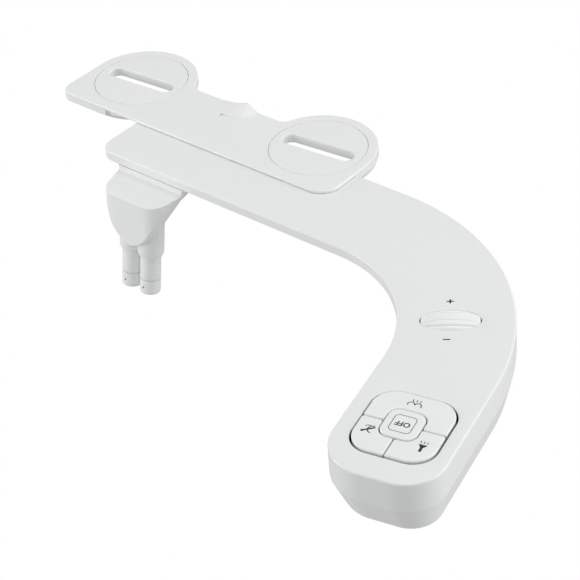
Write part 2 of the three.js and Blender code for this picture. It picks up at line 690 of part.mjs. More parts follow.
function makeValveCap() {

	const lid = solid( prism( roundedRectangle( 40, 40, 3, 0, 1 ), CAP_UNDER, CAP_TOP, 2 ) );
	const holes = Object.values( keyStems ).map( ( [ x, y ] ) => solid( post( SPOOL_R + GAP, x, y, - 18, 0, 12 ) ) );
	const screwHoles = [ [ - 16, 8 ], [ 16, 8 ] ].map( ( [ x, y ] ) => solid( post( 1.5, x, y, - 18, 0, 8 ) ) );
	return cut( lid, ...holes, ...screwHoles );

}

addPart( 'key_carrier', makeCarrier(), INNER_WHITE, panel );
addPart( 'latch_plate', makeLatchPlate(), STEEL, panel );
addPart( 'valve_block', makeValveBlock(), GREY, panel );
addPart( 'valve_cap', makeValveCap(), INNER_WHITE, panel );
for ( const [ name, x ] of [ [ 'valve_screw_1', - 16 ], [ 'valve_screw_2', 16 ] ] ) {

	const head = [ [ 0, CAP_TOP + 1.6 ], [ 2.2, CAP_TOP + 1.6 ], [ 2.2, CAP_TOP + GAP ], [ 1, CAP_TOP + GAP ] ];
	const corners = [ ...head, [ 1, - 17 ], [ 0, - 17.5 ] ].reverse();
	addPart( name, turned( corners, 10 ), STEEL, panel ).position.set( x, 8, 0 );

}

// --- pressure wheel and regulator ---------------------------------------------------------------

const wheelGroup = new THREE.Group();
wheelGroup.applyMatrix4( wheelTurn );
bidet.add( wheelGroup );

function makeWheel() {

	const ribs = 20;
	const profile = barrelProfile( WHEEL_HALF - 0.3, 0, 2 );
	profile.push( profile[ 0 ].clone() );
	const wheel = new THREE.LatheGeometry( profile, 2 * ribs );
	const position = wheel.attributes.position;
	for ( let i = 0; i < position.count; i ++ ) {

		const x = position.getX( i );
		const z = position.getZ( i );
		const radius = Math.hypot( x, z );
		const angle = Math.atan2( z, x );
		const isOuter = radius > 3;
		const scale = isOuter ? 1 - 0.2 * ( 1 - Math.cos( ribs * angle ) ) / radius : 1;
		position.setX( i, x * scale );
		position.setZ( i, z * scale );

	}

	return wheel.rotateZ( - Math.PI / 2 );

}

const SPINDLE_R = 1.7;
const REGULATOR = { from: 17, to: 26, radius: 5.8 };
const BEARING_X = - 18;
const alongX = ( x, y = 0, z = 0 ) => new THREE.Vector3( x, y, z );

function makeRegulator() {

	const { from, to, radius } = REGULATOR;
	const floor = BLOCK_UNDER - wheelCentre.z;
	const barrel = solid( rod( radius, alongX( from ), alongX( to ), 20 ) );
	const foot = solid( block( from, to, - 4, 4, floor, - 3 ) );
	const bore = solid( rod( SPINDLE_R + GAP, alongX( from - 1 ), alongX( to - 1 ), 12 ) );
	return join( barrel, foot ).subtract( bore );

}

function makeBearing() {

	const floor = BLOCK_UNDER - wheelCentre.z;
	const pillar = solid( block( BEARING_X - 1.5, BEARING_X + 1.5, - 4.5, 4.5, floor + 1.5, 4.5 ) );
	return pillar.subtract( solid( rod( SPINDLE_R + GAP, alongX( - 30 ), alongX( 0 ), 12 ) ) );

}

addPart( 'pressure_wheel', makeWheel(), WHITE, wheelGroup );
addPart( 'wheel_spindle', rod( SPINDLE_R, alongX( BEARING_X - 2 ), alongX( REGULATOR.to - 1.3 ), 12 ), STEEL, wheelGroup );
addPart( 'wheel_bearing', makeBearing(), INNER_WHITE, wheelGroup );
addPart( 'pressure_regulator', makeRegulator(), GREY, wheelGroup );

// --- water inlet and hoses ----------------------------------------------------------------------

function makeInlet() {

	const axisPoint = ( t ) => boxPoint( INLET_ACROSS, t, INLET_Z );
	const thread = solid( rod( INLET_R, axisPoint( - 14 ), axisPoint( 2.7 ), 24 ) );
	const shape = roundedRectangle( 25, 17.6, 2, INLET_ACROSS, INLET_Z );
	const inside = 2 * GAP + TUB_WALL;
	const flange = solid( prism( shape, inside, inside + 2.4, 2 ).applyMatrix4( boxFrame ) );
	const nipple = solid( rod( 3, axisPoint( 3 ), axisPoint( 8 ), 16 ) );
	const bore = solid( rod( 6, axisPoint( - 20 ), axisPoint( 0 ), 16 ) );
	const throat = solid( rod( 1.8, axisPoint( - 5 ), axisPoint( 12 ), 12 ) );
	return cut( join( thread, flange, nipple ), bore, throat );

}

addPart( 'water_inlet', makeInlet(), BRASS );

const HOSE_START_S = PANEL_S - BLOCK_REAR - 2.5 - GAP;

function washHosePoints( across, x ) {

	const u = BEND_OFFSET + across;
	const y = BEND_Y + across;
	const points = [ armPoint( u, HOSE_START_S, VALVE_PORT_Z ), armPoint( u, 182, VALVE_PORT_Z ) ];
	for ( const degrees of [ 16, 26, 34 ] ) points.push( bendPoint( across, THREE.MathUtils.degToRad( degrees ), VALVE_PORT_Z ) );
	for ( const [ t, z ] of [ [ 24, - 13.5 ], [ 19, - 8 ], [ 13.5, - 1 ], [ 8, 2.5 ] ] ) {

		points.push( bendPoint( across, BOX_START - Math.asin( t / across ), z ) );

	}

	for ( const degrees of [ 53, 65, 78, 90 ] ) points.push( bendPoint( across, THREE.MathUtils.degToRad( degrees ), HOSE_LEVEL ) );
	points.push( new THREE.Vector3( 70, y, HOSE_LEVEL ) );
	points.push( new THREE.Vector3( x + 7, y, HOSE_LEVEL ) );
	points.push( new THREE.Vector3( x + 1.6, y - 2, HOSE_LEVEL ) );
	points.push( new THREE.Vector3( x, Math.min( y - 6.5, - 57 ), HOSE_LEVEL - 0.2 ) );
	points.push( new THREE.Vector3( x, - 59.8, 0.4 ) );
	points.push( new THREE.Vector3( x, - 61.6, - 3.6 ) );
	points.push( new THREE.Vector3( x, - 65.2, - 7.3 ) );
	points.push( new THREE.Vector3( x, - 71, - 8.7 ) );
	points.push( new THREE.Vector3( x, - 74.8, - 9.3 ) );
	return points;

}

for ( const { name, across, x } of washHoses ) addPart( name, tube( washHosePoints( across, x ), HOSE_R, 44, 6 ), HOSE );

const regulatorAcross = ( REGULATOR.from + REGULATOR.to ) / 2;
const wheelLocal = ( x, y, z ) => new THREE.Vector3( x, y, z - wheelCentre.z ).applyMatrix4( wheelTurn );
const supplyPoints = [
	boxPoint( INLET_ACROSS, 8.3, INLET_Z ),
	boxPoint( INLET_ACROSS, 12, INLET_Z ),
	boxPoint( INLET_ACROSS + 4, 17, INLET_Z - 1.6 ),
	wheelLocal( regulatorAcross, 9, - 13 ),
	wheelLocal( regulatorAcross, 4.3, - 13 ),
];
const feedPoints = [
	wheelLocal( regulatorAcross, - 4.3, - 13 ),
	wheelLocal( regulatorAcross, - 9, - 13 ),
	bendPoint( 124.5, THREE.MathUtils.degToRad( 27 ), - 14.3 ),
	bendPoint( 120, THREE.MathUtils.degToRad( 20 ), - 16 ),
	armPoint( BEND_OFFSET + FEED_ACROSS, 182, VALVE_PORT_Z ),
	armPoint( BEND_OFFSET + FEED_ACROSS, HOSE_START_S, VALVE_PORT_Z ),
];
addPart( 'supply_hose', tube( supplyPoints, SUPPLY_HOSE_R, 12, 8 ), HOSE );
addPart( 'feed_hose', tube( feedPoints, SUPPLY_HOSE_R, 18, 8 ), HOSE );

// --- nozzle hood, sleeves and nozzles -----------------------------------------------------------

const HOOD_LEAN = 0.1;
const HOOD_WALL = 1.5;
const HOOD_FOOT = - 34.5;

function hoodPlan( inset ) {

	const round = 11.4 - inset;
	const shape = new THREE.Shape();
	shape.moveTo( 26.5 - inset, - 54 + 3 * inset );
	shape.lineTo( - 26.5 + inset, - 54 + 3 * inset );
	shape.lineTo( - 26 + inset, - 69.2 );
	shape.absarc( - 11.7, - 77.9, round, Math.PI, 1.5 * Math.PI );
	shape.absarc( 11.7, - 77.9, round, 1.5 * Math.PI, 2 * Math.PI );
	shape.lineTo( 26 - inset, - 69.2 );
	shape.closePath();
	return shape;

}

// The face seen from the front: straight shoulders, then a shield that narrows to a rounded foot.
function hoodFace() {

	const shape = new THREE.Shape();
	shape.moveTo( - 27, 2 );
	shape.lineTo( - 27, 0 );
	shape.lineTo( - 23.3, - 9 );
	shape.quadraticCurveTo( - 13.5, HOOD_FOOT, 0, HOOD_FOOT );
	shape.quadraticCurveTo( 13.5, HOOD_FOOT, 23.3, - 9 );
	shape.lineTo( 27, 0 );
	shape.lineTo( 27, 2 );
	shape.closePath();
	return shape;

}

// The side view: a flat top under the wing, a short neck and a roof that slopes to the front, and an underside open behind.
function hoodSide( roofDrop, underDrop ) {

	const neck = [ [ - 69.5 + roofDrop, - GAP ], [ - 69.8 + roofDrop, - 3.4 ] ];
	const roof = [ [ - 50, - GAP ], ...neck, [ - 88, - 4.7 ], [ - 100, - 6 ] ];
	const under = [ [ - 100, - 45 ], [ - 86, - 45 ], [ - 82, - 24 ], [ - 76, - 14 ], [ - 70, - 7 ], [ - 62, - 4 ], [ - 50, - 2.6 ] ];
	const corners = roof.map( ( [ y, z ] ) => new THREE.Vector2( y, z - roofDrop ) );
	corners.push( ...under.map( ( [ y, z ] ) => new THREE.Vector2( y, z - underDrop ) ) );
	return new THREE.Shape( corners );

}

function hoodBlock( inset, roofDrop, underDrop ) {

	const plan = prism( hoodPlan( inset ), - 80, 2, 5 );
	const side = new THREE.ExtrudeGeometry( hoodSide( roofDrop, underDrop ), { depth: 80, bevelEnabled: false } );
	side.applyMatrix4( sideFrame );
	return solid( plan ).intersect( solid( side ) );

}

function makeHood() {

	const face = new THREE.ExtrudeGeometry( hoodFace(), { depth: 60, bevelEnabled: false, curveSegments: 8 } );
	face.rotateX( Math.PI / 2 ).translate( 0, - 44, 0 );
	const outer = hoodBlock( 0, 0, 0 ).intersect( solid( face ) );
	const inner = hoodBlock( HOOD_WALL, HOOD_WALL, 30 );
	const hoseDoor = solid( block( - 11.5, 11.5, - 64.6, - 56, - 10, 5 ) );
	const holes = hoodScrews.map( ( at ) => solid( post( 1.3, at.x, at.y, - 10, 5, 8 ) ) );
	const lean = new THREE.Matrix4().makeShear( 0, 0, 0, 0, 0, HOOD_LEAN );
	const hood = geometryOf( cut( outer, inner, hoseDoor, ...holes ) );
	return hood.applyMatrix4( lean );

}

addPart( 'nozzle_hood', makeHood(), WHITE );

const up = new THREE.Vector3( 0, NOZZLE_LEAN, Math.sqrt( 1 - NOZZLE_LEAN ** 2 ) );
const nozzles = new THREE.Group();
nozzles.position.copy( NOZZLE_TIP );
nozzles.quaternion.setFromUnitVectors( new THREE.Vector3( 0, 0, 1 ), up );
bidet.add( nozzles );

const BORE_R = NOZZLE_R + GAP;
const nozzleSides = { rear_wash: - NOZZLE_SPACING / 2, front_wash: NOZZLE_SPACING / 2 };

function makeSleeves() {

	const outer = Object.values( nozzleSides ).map( ( x ) => solid( post( SLEEVE_R, x, 0, SLEEVE_FROM, SLEEVE_TO, 28 ) ) );
	const bores = Object.values( nozzleSides ).map( ( x ) => solid( post( BORE_R, x, 0, 0, 80, 28 ) ) );
	return cut( join( ...outer ), ...bores );

}

addPart( 'nozzle_sleeves', makeSleeves(), WHITE, nozzles );
const capShape = roundedRectangle( NOZZLE_SPACING + 2 * SLEEVE_R, 2 * SLEEVE_R, SLEEVE_R - 0.1 );
addPart( 'sleeve_cap', prism( capShape, SLEEVE_TO + GAP, SLEEVE_TO + 3, 4 ), INNER_WHITE, nozzles );

for ( const [ name, x ] of Object.entries( nozzleSides ) ) {

	const groove = [ [ NOZZLE_R, 28.6 ], [ 5, 28.6 ], [ 5, 31.4 ], [ NOZZLE_R, 31.4 ], [ NOZZLE_R, NOZZLE_LENGTH ], [ 0, NOZZLE_LENGTH ] ];
	const shaft = turned( [ [ 0, NOZZLE_TIP_LENGTH + GAP ], [ NOZZLE_R, NOZZLE_TIP_LENGTH + GAP ], ...groove ], 24 );
	const sprayHole = solid( rod( 0.7, new THREE.Vector3( 0, - 10, 5 ), new THREE.Vector3( 0, - 3, 5 ), 8 ) );
	const head = turned( [ [ 0, 0 ], [ 4.6, 0 ], [ 5.7, 0.5 ], [ NOZZLE_R, 1.6 ], [ NOZZLE_R, NOZZLE_TIP_LENGTH ], [ 0, NOZZLE_TIP_LENGTH ] ], 24 );
	addPart( name + '_nozzle', shaft, WHITE, nozzles ).position.x = x;
	addPart( name + '_spray_tip', cut( solid( head ), sprayHole ), WHITE, nozzles ).position.x = x;
	addPart( name + '_nozzle_seal', ring( 5.3, NOZZLE_R, 28.9, 31.1, 20 ), RUBBER, nozzles ).position.x = x;
	const coil = addPart( name + '_nozzle_spring', spring( 4.4, 0.4, SLEEVE_TO - NOZZLE_LENGTH - GAP, 5 ), STEEL, nozzles );
	coil.position.set( x, 0, NOZZLE_LENGTH + GAP );

}

for ( const [ index, at ] of hoodScrews.entries() ) {

	const seat = - GAP - HOOD_WALL - GAP;
	const corners = [ [ 0, seat - 1.4 ], [ 2.2, seat - 1.4 ], [ 2.2, seat ], [ 1, seat ], [ 1, 3.2 ], [ 0, 3.4 ] ];
	addPart( 'hood_screw_' + ( index + 1 ), turned( corners, 10 ), STEEL ).position.copy( at );

}

export default bidet;
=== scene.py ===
# Looks of a slim under-seat bidet attachment: glossy white shells, wash keys, wheel and twin nozzles
import json
import math

import bmesh
import bpy
import numpy as np
from mathutils import Matrix, Vector
from mathutils.geometry import tessellate_polygon


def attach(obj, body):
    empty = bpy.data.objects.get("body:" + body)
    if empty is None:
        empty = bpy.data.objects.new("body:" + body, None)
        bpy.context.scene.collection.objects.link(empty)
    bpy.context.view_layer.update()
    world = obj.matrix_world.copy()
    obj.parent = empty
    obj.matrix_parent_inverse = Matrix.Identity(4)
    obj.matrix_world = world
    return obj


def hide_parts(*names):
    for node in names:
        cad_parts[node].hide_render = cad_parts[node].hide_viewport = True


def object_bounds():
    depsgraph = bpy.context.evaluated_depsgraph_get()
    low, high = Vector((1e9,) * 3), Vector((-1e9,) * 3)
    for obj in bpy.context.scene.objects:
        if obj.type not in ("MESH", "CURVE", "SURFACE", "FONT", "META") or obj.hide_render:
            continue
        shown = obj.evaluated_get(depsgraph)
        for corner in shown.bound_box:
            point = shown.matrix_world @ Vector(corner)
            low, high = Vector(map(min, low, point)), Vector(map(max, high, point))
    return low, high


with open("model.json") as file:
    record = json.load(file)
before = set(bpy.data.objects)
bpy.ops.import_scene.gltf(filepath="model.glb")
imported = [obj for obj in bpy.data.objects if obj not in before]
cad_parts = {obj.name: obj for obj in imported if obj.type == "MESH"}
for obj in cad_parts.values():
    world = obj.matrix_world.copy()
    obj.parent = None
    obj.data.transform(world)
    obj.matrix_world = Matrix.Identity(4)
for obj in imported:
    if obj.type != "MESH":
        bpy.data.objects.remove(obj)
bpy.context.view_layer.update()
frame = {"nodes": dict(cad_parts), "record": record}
mm = 0.001
print("frame loaded:", len(frame["nodes"]), "nodes")

# a long lens, a white room and three softboxes
studio = {
    "cameraAt": (0.67937, -0.70319, 0.60418),
    "right": (0.77139, 0.63255, -0.06959),
    "up": (-0.33831, 0.50026, 0.79706),
    "back": (0.53899, -0.59130, 0.59988),
    "lens": 118.27,
    "floorDrop": 0.0006,  # metres below the nozzle tips
    "floorSize": 12.0,
    "floorBounce": 0.5,
    "skyStrength": 0.5,
    "aim": (0.1, -0.08, 0),  # what the lights face
    "lights": [
        # name, where it stands, size, watts
        ("topSoftbox", (0.15, 0.25, 1.7), 1.5, 8.9),
        ("rightSoftbox", (1.6, 0.8, 0.35), 1.3, 17.0),
        ("leftSoftbox", (-0.8, -0.9, 0.15), 0.8, 8.0),
    ],
}

scene = bpy.context.scene
cameraData = bpy.data.cameras.new("studioCamera")
cameraData.lens = studio["lens"]
cameraData.sensor_width = 36
camera = bpy.data.objects.new("studioCamera", cameraData)
axes = Matrix((studio["right"], studio["up"], studio["back"])).transposed()
camera.matrix_world = Matrix.Translation(studio["cameraAt"]) @ axes.to_4x4()
scene.collection.objects.link(camera)
scene.camera = camera
scene.view_settings.view_transform = "Standard"


def addNode(tree, kind, settings=None, links=None):
    # one node with its own settings or input values, and the sockets that feed its inputs
    node = tree.nodes.new(kind)
    for key, value in (settings or {}).items():
        if key in node.inputs:
            node.inputs[key].default_value = value
        else:
            setattr(node, key, value)
    for key, socket in (links or {}).items():
        tree.links.new(socket, node.inputs[key])
    return node


def linear(hexColour):
    # an sRGB hex value as linear red, green, blue and full alpha
    channels = [int(hexColour[i : i + 2], 16) / 255 for i in (0, 2, 4)]
    return [c / 12.92 if c <= 0.04045 else ((c + 0.055) / 1.055) ** 2.4 for c in channels] + [1.0]


world = bpy.data.worlds.new("studioWorld")
world.use_nodes = True
scene.world = world
world.node_tree.nodes["Background"].inputs["Color"].default_value = linear("FFFFFF")
world.node_tree.nodes["Background"].inputs["Strength"].default_value = studio["skyStrength"]
for name, place, size, watts in studio["lights"]:
    lamp = bpy.data.lights.new(name, "AREA")
    lamp.size = size
    lamp.energy = watts
    lampObject = bpy.data.objects.new(name, lamp)
    lampObject.location = place
    lampObject.rotation_euler = (Vector(studio["aim"]) - Vector(place)).to_track_quat("-Z", "Y").to_euler()
    scene.collection.objects.link(lampObject)
print("studio ready")

# each piece is collected as points (mm) and faces; caps stay flat, carried profiles are smooth


def newShape():
    return {"points": [], "faces": [], "flat": [], "count": 0}


def addFaces(shape, points, faces, flat):
    # the faces count their own points, so they are moved on by the number already there
    points = np.asarray(points, float).reshape(-1, 3)
    shape["points"].append(points)
    shape["faces"].extend((np.asarray(faces) + shape["count"]).tolist())
    shape["flat"].extend([flat] * len(faces))
    shape["count"] += len(points)


def addGrid(shape, rings, closed=True):
    # quads between neighbouring rings; rings that climb an anticlockwise outline face outwards
    rings = np.asarray(rings, float)
    rows, columns = rings.shape[:2]
    i, j = np.meshgrid(np.arange(rows - 1), np.arange(columns if closed else columns - 1), indexing="ij")
    k = (j + 1) % columns
    quads = np.stack([i * columns + j, i * columns + k, (i + 1) * columns + k, (i + 1) * columns + j], -1)
    addFaces(shape, rings, quads.reshape(-1, 4), False)


def addCap(shape, loops, up=True):
    # fills a flat outline, with any further loops as holes
    points = np.concatenate(loops)
    triangles = np.array(tessellate_polygon([[Vector(p) for p in loop] for loop in loops]))
    a, b, c = (points[triangles[:, n]] for n in range(3))
    turn = (b - a)[:, 0] * (c - a)[:, 1] - (b - a)[:, 1] * (c - a)[:, 0]
    wrong = (turn > 0) != up
    triangles[wrong] = triangles[wrong][:, ::-1]
    addFaces(shape, points, triangles[np.abs(turn) > 1e-9], True)


def arcLoop(arcs, inset=0.0):
    # arcs joined by straight lines: (x, y, radius, from, to, points)
    # an arc that runs clockwise is a hollow, and its radius grows with the inset
    parts = []
    for x, y, radius, start, stop, count in arcs:
        r = max(radius - inset if stop > start else radius + inset, 0.01)
        angle = np.radians(np.linspace(start, stop, count))
        parts.append(np.stack([x + r * np.cos(angle), y + r * np.sin(angle)], 1))
    return np.concatenate(parts)


def roundedRectangle(width, length, corner, x=0.0, y=0.0, count=14):
    # four quarter circles about the corners of a smaller rectangle
    w, h = width / 2 - corner, length / 2 - corner
    corners = [(w, -h, -90), (w, h, 0), (-w, h, 90), (-w, -h, 180)]
    return lambda inset: arcLoop([(x + a, y + b, corner, t, t + 90, count) for a, b, t in corners], inset)


def circle(radius, x=0.0, y=0.0, count=96):
    # points at even angles round (x, y)
    angle = np.linspace(0, 2 * np.pi, count, endpoint=False)
    way = np.stack([np.cos(angle), np.sin(angle)], 1)
    return lambda inset: np.array([x, y]) + (radius - inset) * way


def carried(outline, profile):
    # one ring of the outline for each (inset, height); a height may be a function of the place
    rings = []
    for inset, height in profile:
        flat = outline(inset)
        z = height(flat) if callable(height) else np.full(len(flat), float(height))
        rings.append(np.column_stack([flat, z]))
    return rings


def roundedEdge(size, z, outwards=True, steps=8, drop=None):
    # a quarter of an ellipse from the wall in to the flat top, as (inset, height) pairs
    drop = size if drop is None else drop
    turn = np.linspace(0, np.pi / 2, steps + 1)
    pairs = [(size * (1 - math.cos(t)), z - drop * (1 - math.sin(t))) for t in turn]
    return pairs if outwards else [(-a, b) for a, b in reversed(pairs)]


def addSlab(shape, outline, bottom, top, edge=0.4, holes=(), holeEdge=0.3, footEdge=0.0):
    # a flat plate with a rounded rim: outline, heights, and hole outlines cut right through
    foot = [(0, bottom)]
    if footEdge:
        foot = [(i, bottom + top - z) for i, z in reversed(roundedEdge(footEdge, top))]
    rim = carried(outline, foot + roundedEdge(edge, top))
    addGrid(shape, rim)
    walls = [carried(hole, roundedEdge(holeEdge, top, False) + [(0, bottom)]) for hole in holes]
    for wall in walls:
        addGrid(shape, wall)
    addCap(shape, [rim[-1]] + [wall[0] for wall in walls])
    addCap(shape, [rim[0]] + [wall[-1] for wall in walls], False)


def addTurned(shape, profile, x=0.0, y=0.0, count=64):
    # a profile of (radius, height) turned once round an upright axis, from its underside outwards and up
    angle = np.linspace(0, 2 * np.pi, count, endpoint=False)
    profile = np.asarray(profile, float)
    r, z = profile[:, :1], profile[:, 1:]
    rings = np.stack([x + r * np.cos(angle), y + r * np.sin(angle), z + 0 * angle], -1)
    addGrid(shape, rings)


def addCoil(shape, x, radius, wire, low, high, turns):
    # a round wire wound upright about (x, 0), drawn to a point at each end
    t = np.linspace(0, 2 * np.pi * turns, 28 * turns + 1)[:, None]
    w = np.linspace(0, 2 * np.pi, 10, endpoint=False)[None, :]
    thick = wire * np.where((t == t[0]) | (t == t[-1]), 0, 1)
    reach = radius + thick * np.cos(w)
    level = low + (high - low) * t / t[-1] - thick * np.sin(w)
    addGrid(shape, np.stack([x + reach * np.cos(t), reach * np.sin(t), level], -1))


def softened(profile, sizes, steps=4):
    # rounds each inner corner of a profile line by a quadratic curve; sizes has one entry per corner
    profile = [np.array(p, float) for p in profile]
    line = [profile[0]]
    for before, corner, after, size in zip(profile, profile[1:], profile[2:], sizes):
        into, out = before - corner, after - corner
        reachIn, reachOut = min(size, 0.49 * np.linalg.norm(into)), min(size, 0.49 * np.linalg.norm(out))
        a = corner + into / max(np.linalg.norm(into), 1e-9) * reachIn
        b = corner + out / max(np.linalg.norm(out), 1e-9) * reachOut
        if size == 0:
            line.append(corner)
            continue
        for t in np.linspace(0, 1, steps + 1):
            line.append((1 - t) ** 2 * a + 2 * t * (1 - t) * corner + t * t * b)
    line.append(profile[-1])
    return np.array(line)


def finishPiece(name, shape, body, material, nodes=(), place=None, sharp=38):
    # welds the piece, puts its place into the mesh, marks the sharp edges and makes it ride on its body
    points = np.concatenate(shape["points"])
    if place is not None:
        points = points @ np.array(place)[:3, :3].T + np.array(place)[:3, 3]
    mesh = bpy.data.meshes.new(name)
    mesh.from_pydata(points * mm, [], shape["faces"])
    mesh.polygons.foreach_set("use_smooth", ~np.array(shape["flat"]))
    work = bmesh.new()
    work.from_mesh(mesh)
    bmesh.ops.remove_doubles(work, verts=work.verts, dist=2e-7)
    bmesh.ops.dissolve_degenerate(work, edges=work.edges, dist=1e-7)
    work.to_mesh(mesh)
    work.free()
    mesh.set_sharp_from_angle(angle=math.radians(sharp))
    mesh.materials.append(material)
    piece = bpy.data.objects.new(name, mesh)
    scene.collection.objects.link(piece)
    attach(piece, body)
    if nodes:
        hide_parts(*nodes)


# mm across the tone drift and the wear, the grain's strength, and how much longer than wide tool marks are
patterns = {"drift": 45.0, "wear": 9.0, "bumpStrength": 0.35, "markStretch": 6.0}


def startMaterial(name):
    # an empty material, with the place on the object that its patterns follow
    material = bpy.data.materials.new(name)
    material.use_nodes = True
    tree = material.node_tree
    tree.nodes.clear()
    return material, tree, addNode(tree, "ShaderNodeTexCoord").outputs["Object"]


def closeMaterial(tree, tone, shader):
    # the mixed tone becomes the base colour, and the shader is the surface
    colourOut = next(s for s in tone.outputs if s.type == "RGBA")
    tree.links.new(colourOut, shader.inputs["Base Color"])
    addNode(tree, "ShaderNodeOutputMaterial", None, {"Surface": shader.outputs["BSDF"]})


def mouldedPlastic(name, colour, patch, roughness, grain=0.35, relief=0.012, ior=1.53):
    # injection-moulded plastic: faint tone drift, and a satin skin whose grain (mm) catches the gloss
    # the grain is drawn coarser than a real mould's, so that it shows
    material, tree, place = startMaterial(name)
    sizes = (patterns["drift"], patterns["wear"], grain)
    driftScale, wearScale, grainScale = (1 / (size * mm) for size in sizes)
    drift = addNode(tree, "ShaderNodeTexNoise", {"Scale": driftScale, "Detail": 2.0}, {"Vector": place})
    tone = addNode(tree, "ShaderNodeMix", {"data_type": "RGBA", "A": linear(colour), "B": linear(patch)})
    tree.links.new(drift.outputs["Fac"], tone.inputs["Factor"])
    wear = addNode(tree, "ShaderNodeTexNoise", {"Scale": wearScale, "Detail": 4.0}, {"Vector": place})
    limits = {"To Min": roughness[0], "To Max": roughness[1]}
    spread = addNode(tree, "ShaderNodeMapRange", limits, {"Value": wear.outputs["Fac"]})
    skin = addNode(tree, "ShaderNodeTexNoise", {"Scale": grainScale, "Detail": 1.0}, {"Vector": place})
    depth = {"Strength": patterns["bumpStrength"], "Distance": relief * mm}
    bump = addNode(tree, "ShaderNodeBump", depth, {"Height": skin.outputs["Fac"]})
    skinLinks = {"Roughness": spread.outputs["Result"], "Normal": bump.outputs["Normal"]}
    closeMaterial(tree, tone, addNode(tree, "ShaderNodeBsdfPrincipled", {"IOR": ior}, skinLinks))
    return material


def bareMetal(name, colour, patch, roughness, scratch=0.25):
    # turned metal: tool marks lie across the part and break up the shine
    # they are drawn a quarter of a millimetre apart, coarser than real ones, so that they show
    material, tree, place = startMaterial(name)
    longer = patterns["markStretch"]
    stretch = addNode(tree, "ShaderNodeMapping", {"Scale": (1.0, 1.0, longer)}, {"Vector": place})
    fine = {"Scale": 1 / (scratch * longer * mm), "Detail": 3.0}
    marks = addNode(tree, "ShaderNodeTexNoise", fine, {"Vector": stretch.outputs["Vector"]})
    tone = addNode(tree, "ShaderNodeMix", {"data_type": "RGBA", "A": linear(colour), "B": linear(patch)})
    tree.links.new(marks.outputs["Fac"], tone.inputs["Factor"])
    limits = {"To Min": roughness[0], "To Max": roughness[1]}
    spread = addNode(tree, "ShaderNodeMapRange", limits, {"Value": marks.outputs["Fac"]})
    skinLinks = {"Roughness": spread.outputs["Result"]}
    closeMaterial(tree, tone, addNode(tree, "ShaderNodeBsdfPrincipled", {"Metallic": 1.0}, skinLinks))
    return material


# glossy ABS shells: cool white, with soft clear highlights
shellWhite = mouldedPlastic("glossMouldedAbs", "F1F3F2", "F0F2F1", (0.25, 0.28), relief=0.004)
keyWhite = mouldedPlastic("polishedAbsKeys", "F5F7F7", "F3F5F5", (0.17, 0.21), relief=0.003)  # a shade brighter
innerWhite = mouldedPlastic("satinAbsInside", "DFE2E0", "D8DBD9", (0.45, 0.55), grain=0.5)  # duller
valveGrey = mouldedPlastic("mouldedAcetal", "A2A8AB", "989EA1", (0.38, 0.48), ior=1.48)  # slightly waxy grey
softWhite = mouldedPlastic("siliconePad", "D6D9D8", "CDD0CF", (0.62, 0.75), grain=0.8, relief=0.03, ior=1.41)
# black rubber; on the screws it also serves as painted shade in the cross recesses
rubberAndRecessShadeBlack = mouldedPlastic("nitrileRubberAndRecessShade", "2B2C2E", "232425", (0.6, 0.75), ior=1.52)
paintedShadeCarrierGrey = mouldedPlastic("acetalCarrierPaintedShade", "4E5254", "484C4E", (0.5, 0.6), ior=1.48)  # dark: painted shade for the gaps round the keys
hoseClear = mouldedPlastic("polyurethaneHose", "D3DCE0", "C9D3D8", (0.22, 0.3), ior=1.49)  # milky, smooth bore
inkGreyAndHoleShade = mouldedPlastic("padPrintedInkGreyAndHoleShade", "6B6F72", "63676A", (0.4, 0.5), ior=1.5)  # flat, matt ink; on the spray holes the same grey is painted shade for the hole
printBlack = mouldedPlastic("padPrintedInkBlack", "1C1D1E", "242526", (0.4, 0.5), ior=1.5)
stainless = bareMetal("turnedStainless", "C4C6C9", "AFB2B5", (0.22, 0.36))  # cool, bright edges
brassMetal = bareMetal("machinedBrass", "CFAF6A", "BD9A55", (0.2, 0.34))  # warm yellow

finishes = {
    "shell_white": shellWhite,
    "key_white": keyWhite,
    "inner_white": innerWhite,
    "valve_grey": valveGrey,
    "soft_white": softWhite,
    "black_rubber": rubberAndRecessShadeBlack,
    "clear_hose": hoseClear,
    "stainless_steel": stainless,
    "brass": brassMetal,
}
for row in frame["record"]["subparts"]:
    node = frame["nodes"][row["node"]]
    node.data.materials.clear()
    # the key carrier gets a dark grey: painted shade where it shows through the gaps round the keys
    node.data.materials.append(paintedShadeCarrierGrey if row["node"] == "key_carrier" else finishes[row["material_slot"]])
print("materials ready")

# the body seen from above: a wing along x, a bend and an arm that is splayed outwards
boltHalf = 70.0  # half the spacing of the seat bolts
body = {
    "skinGap": 0.06,  # the smooth outline runs this far inside the solids' corners
    "left": -41.0,
    "bendX": 139.3,
    "bendY": -146.8,
    "inner": 77.6,  # radii of the bend
    "outer": 138.6,
    "splay": 12.87,  # degrees
    "end": 257.8,  # the arm's free end, along the arm
    "innerCorner": 25.0,
    "outerCorner": 21.0,
    "wingCorner": 10.0,
    "notch": 35.4,  # radius of the hollows round the bracket's lobes
    "deepFrom": 52.0,  # degrees round the bend
    "top": 6.0,
    "ceiling": 4.7,
    "edge": 1.2,
    "wall": 1.8,
    "cutFrom": 86.0,  # the deep part's inner corner is cut off from here
    "cutSlope": 1.4,
    "cutReach": 40.0,
    "seamFrom": -7.4,  # height of the covers' seam at the deep line, and its fall along the arm
    "seamSlope": 0.02,
}
splay = math.radians(body["splay"])
deepFrom = math.radians(body["deepFrom"])
bendAt = np.array([body["bendX"], body["bendY"]])
bendOffset = body["bendX"] * math.cos(splay) + body["bendY"] * math.sin(splay)
across = np.array([math.cos(deepFrom), math.sin(deepFrom)])
onward = np.array([math.sin(deepFrom), -math.cos(deepFrom)])


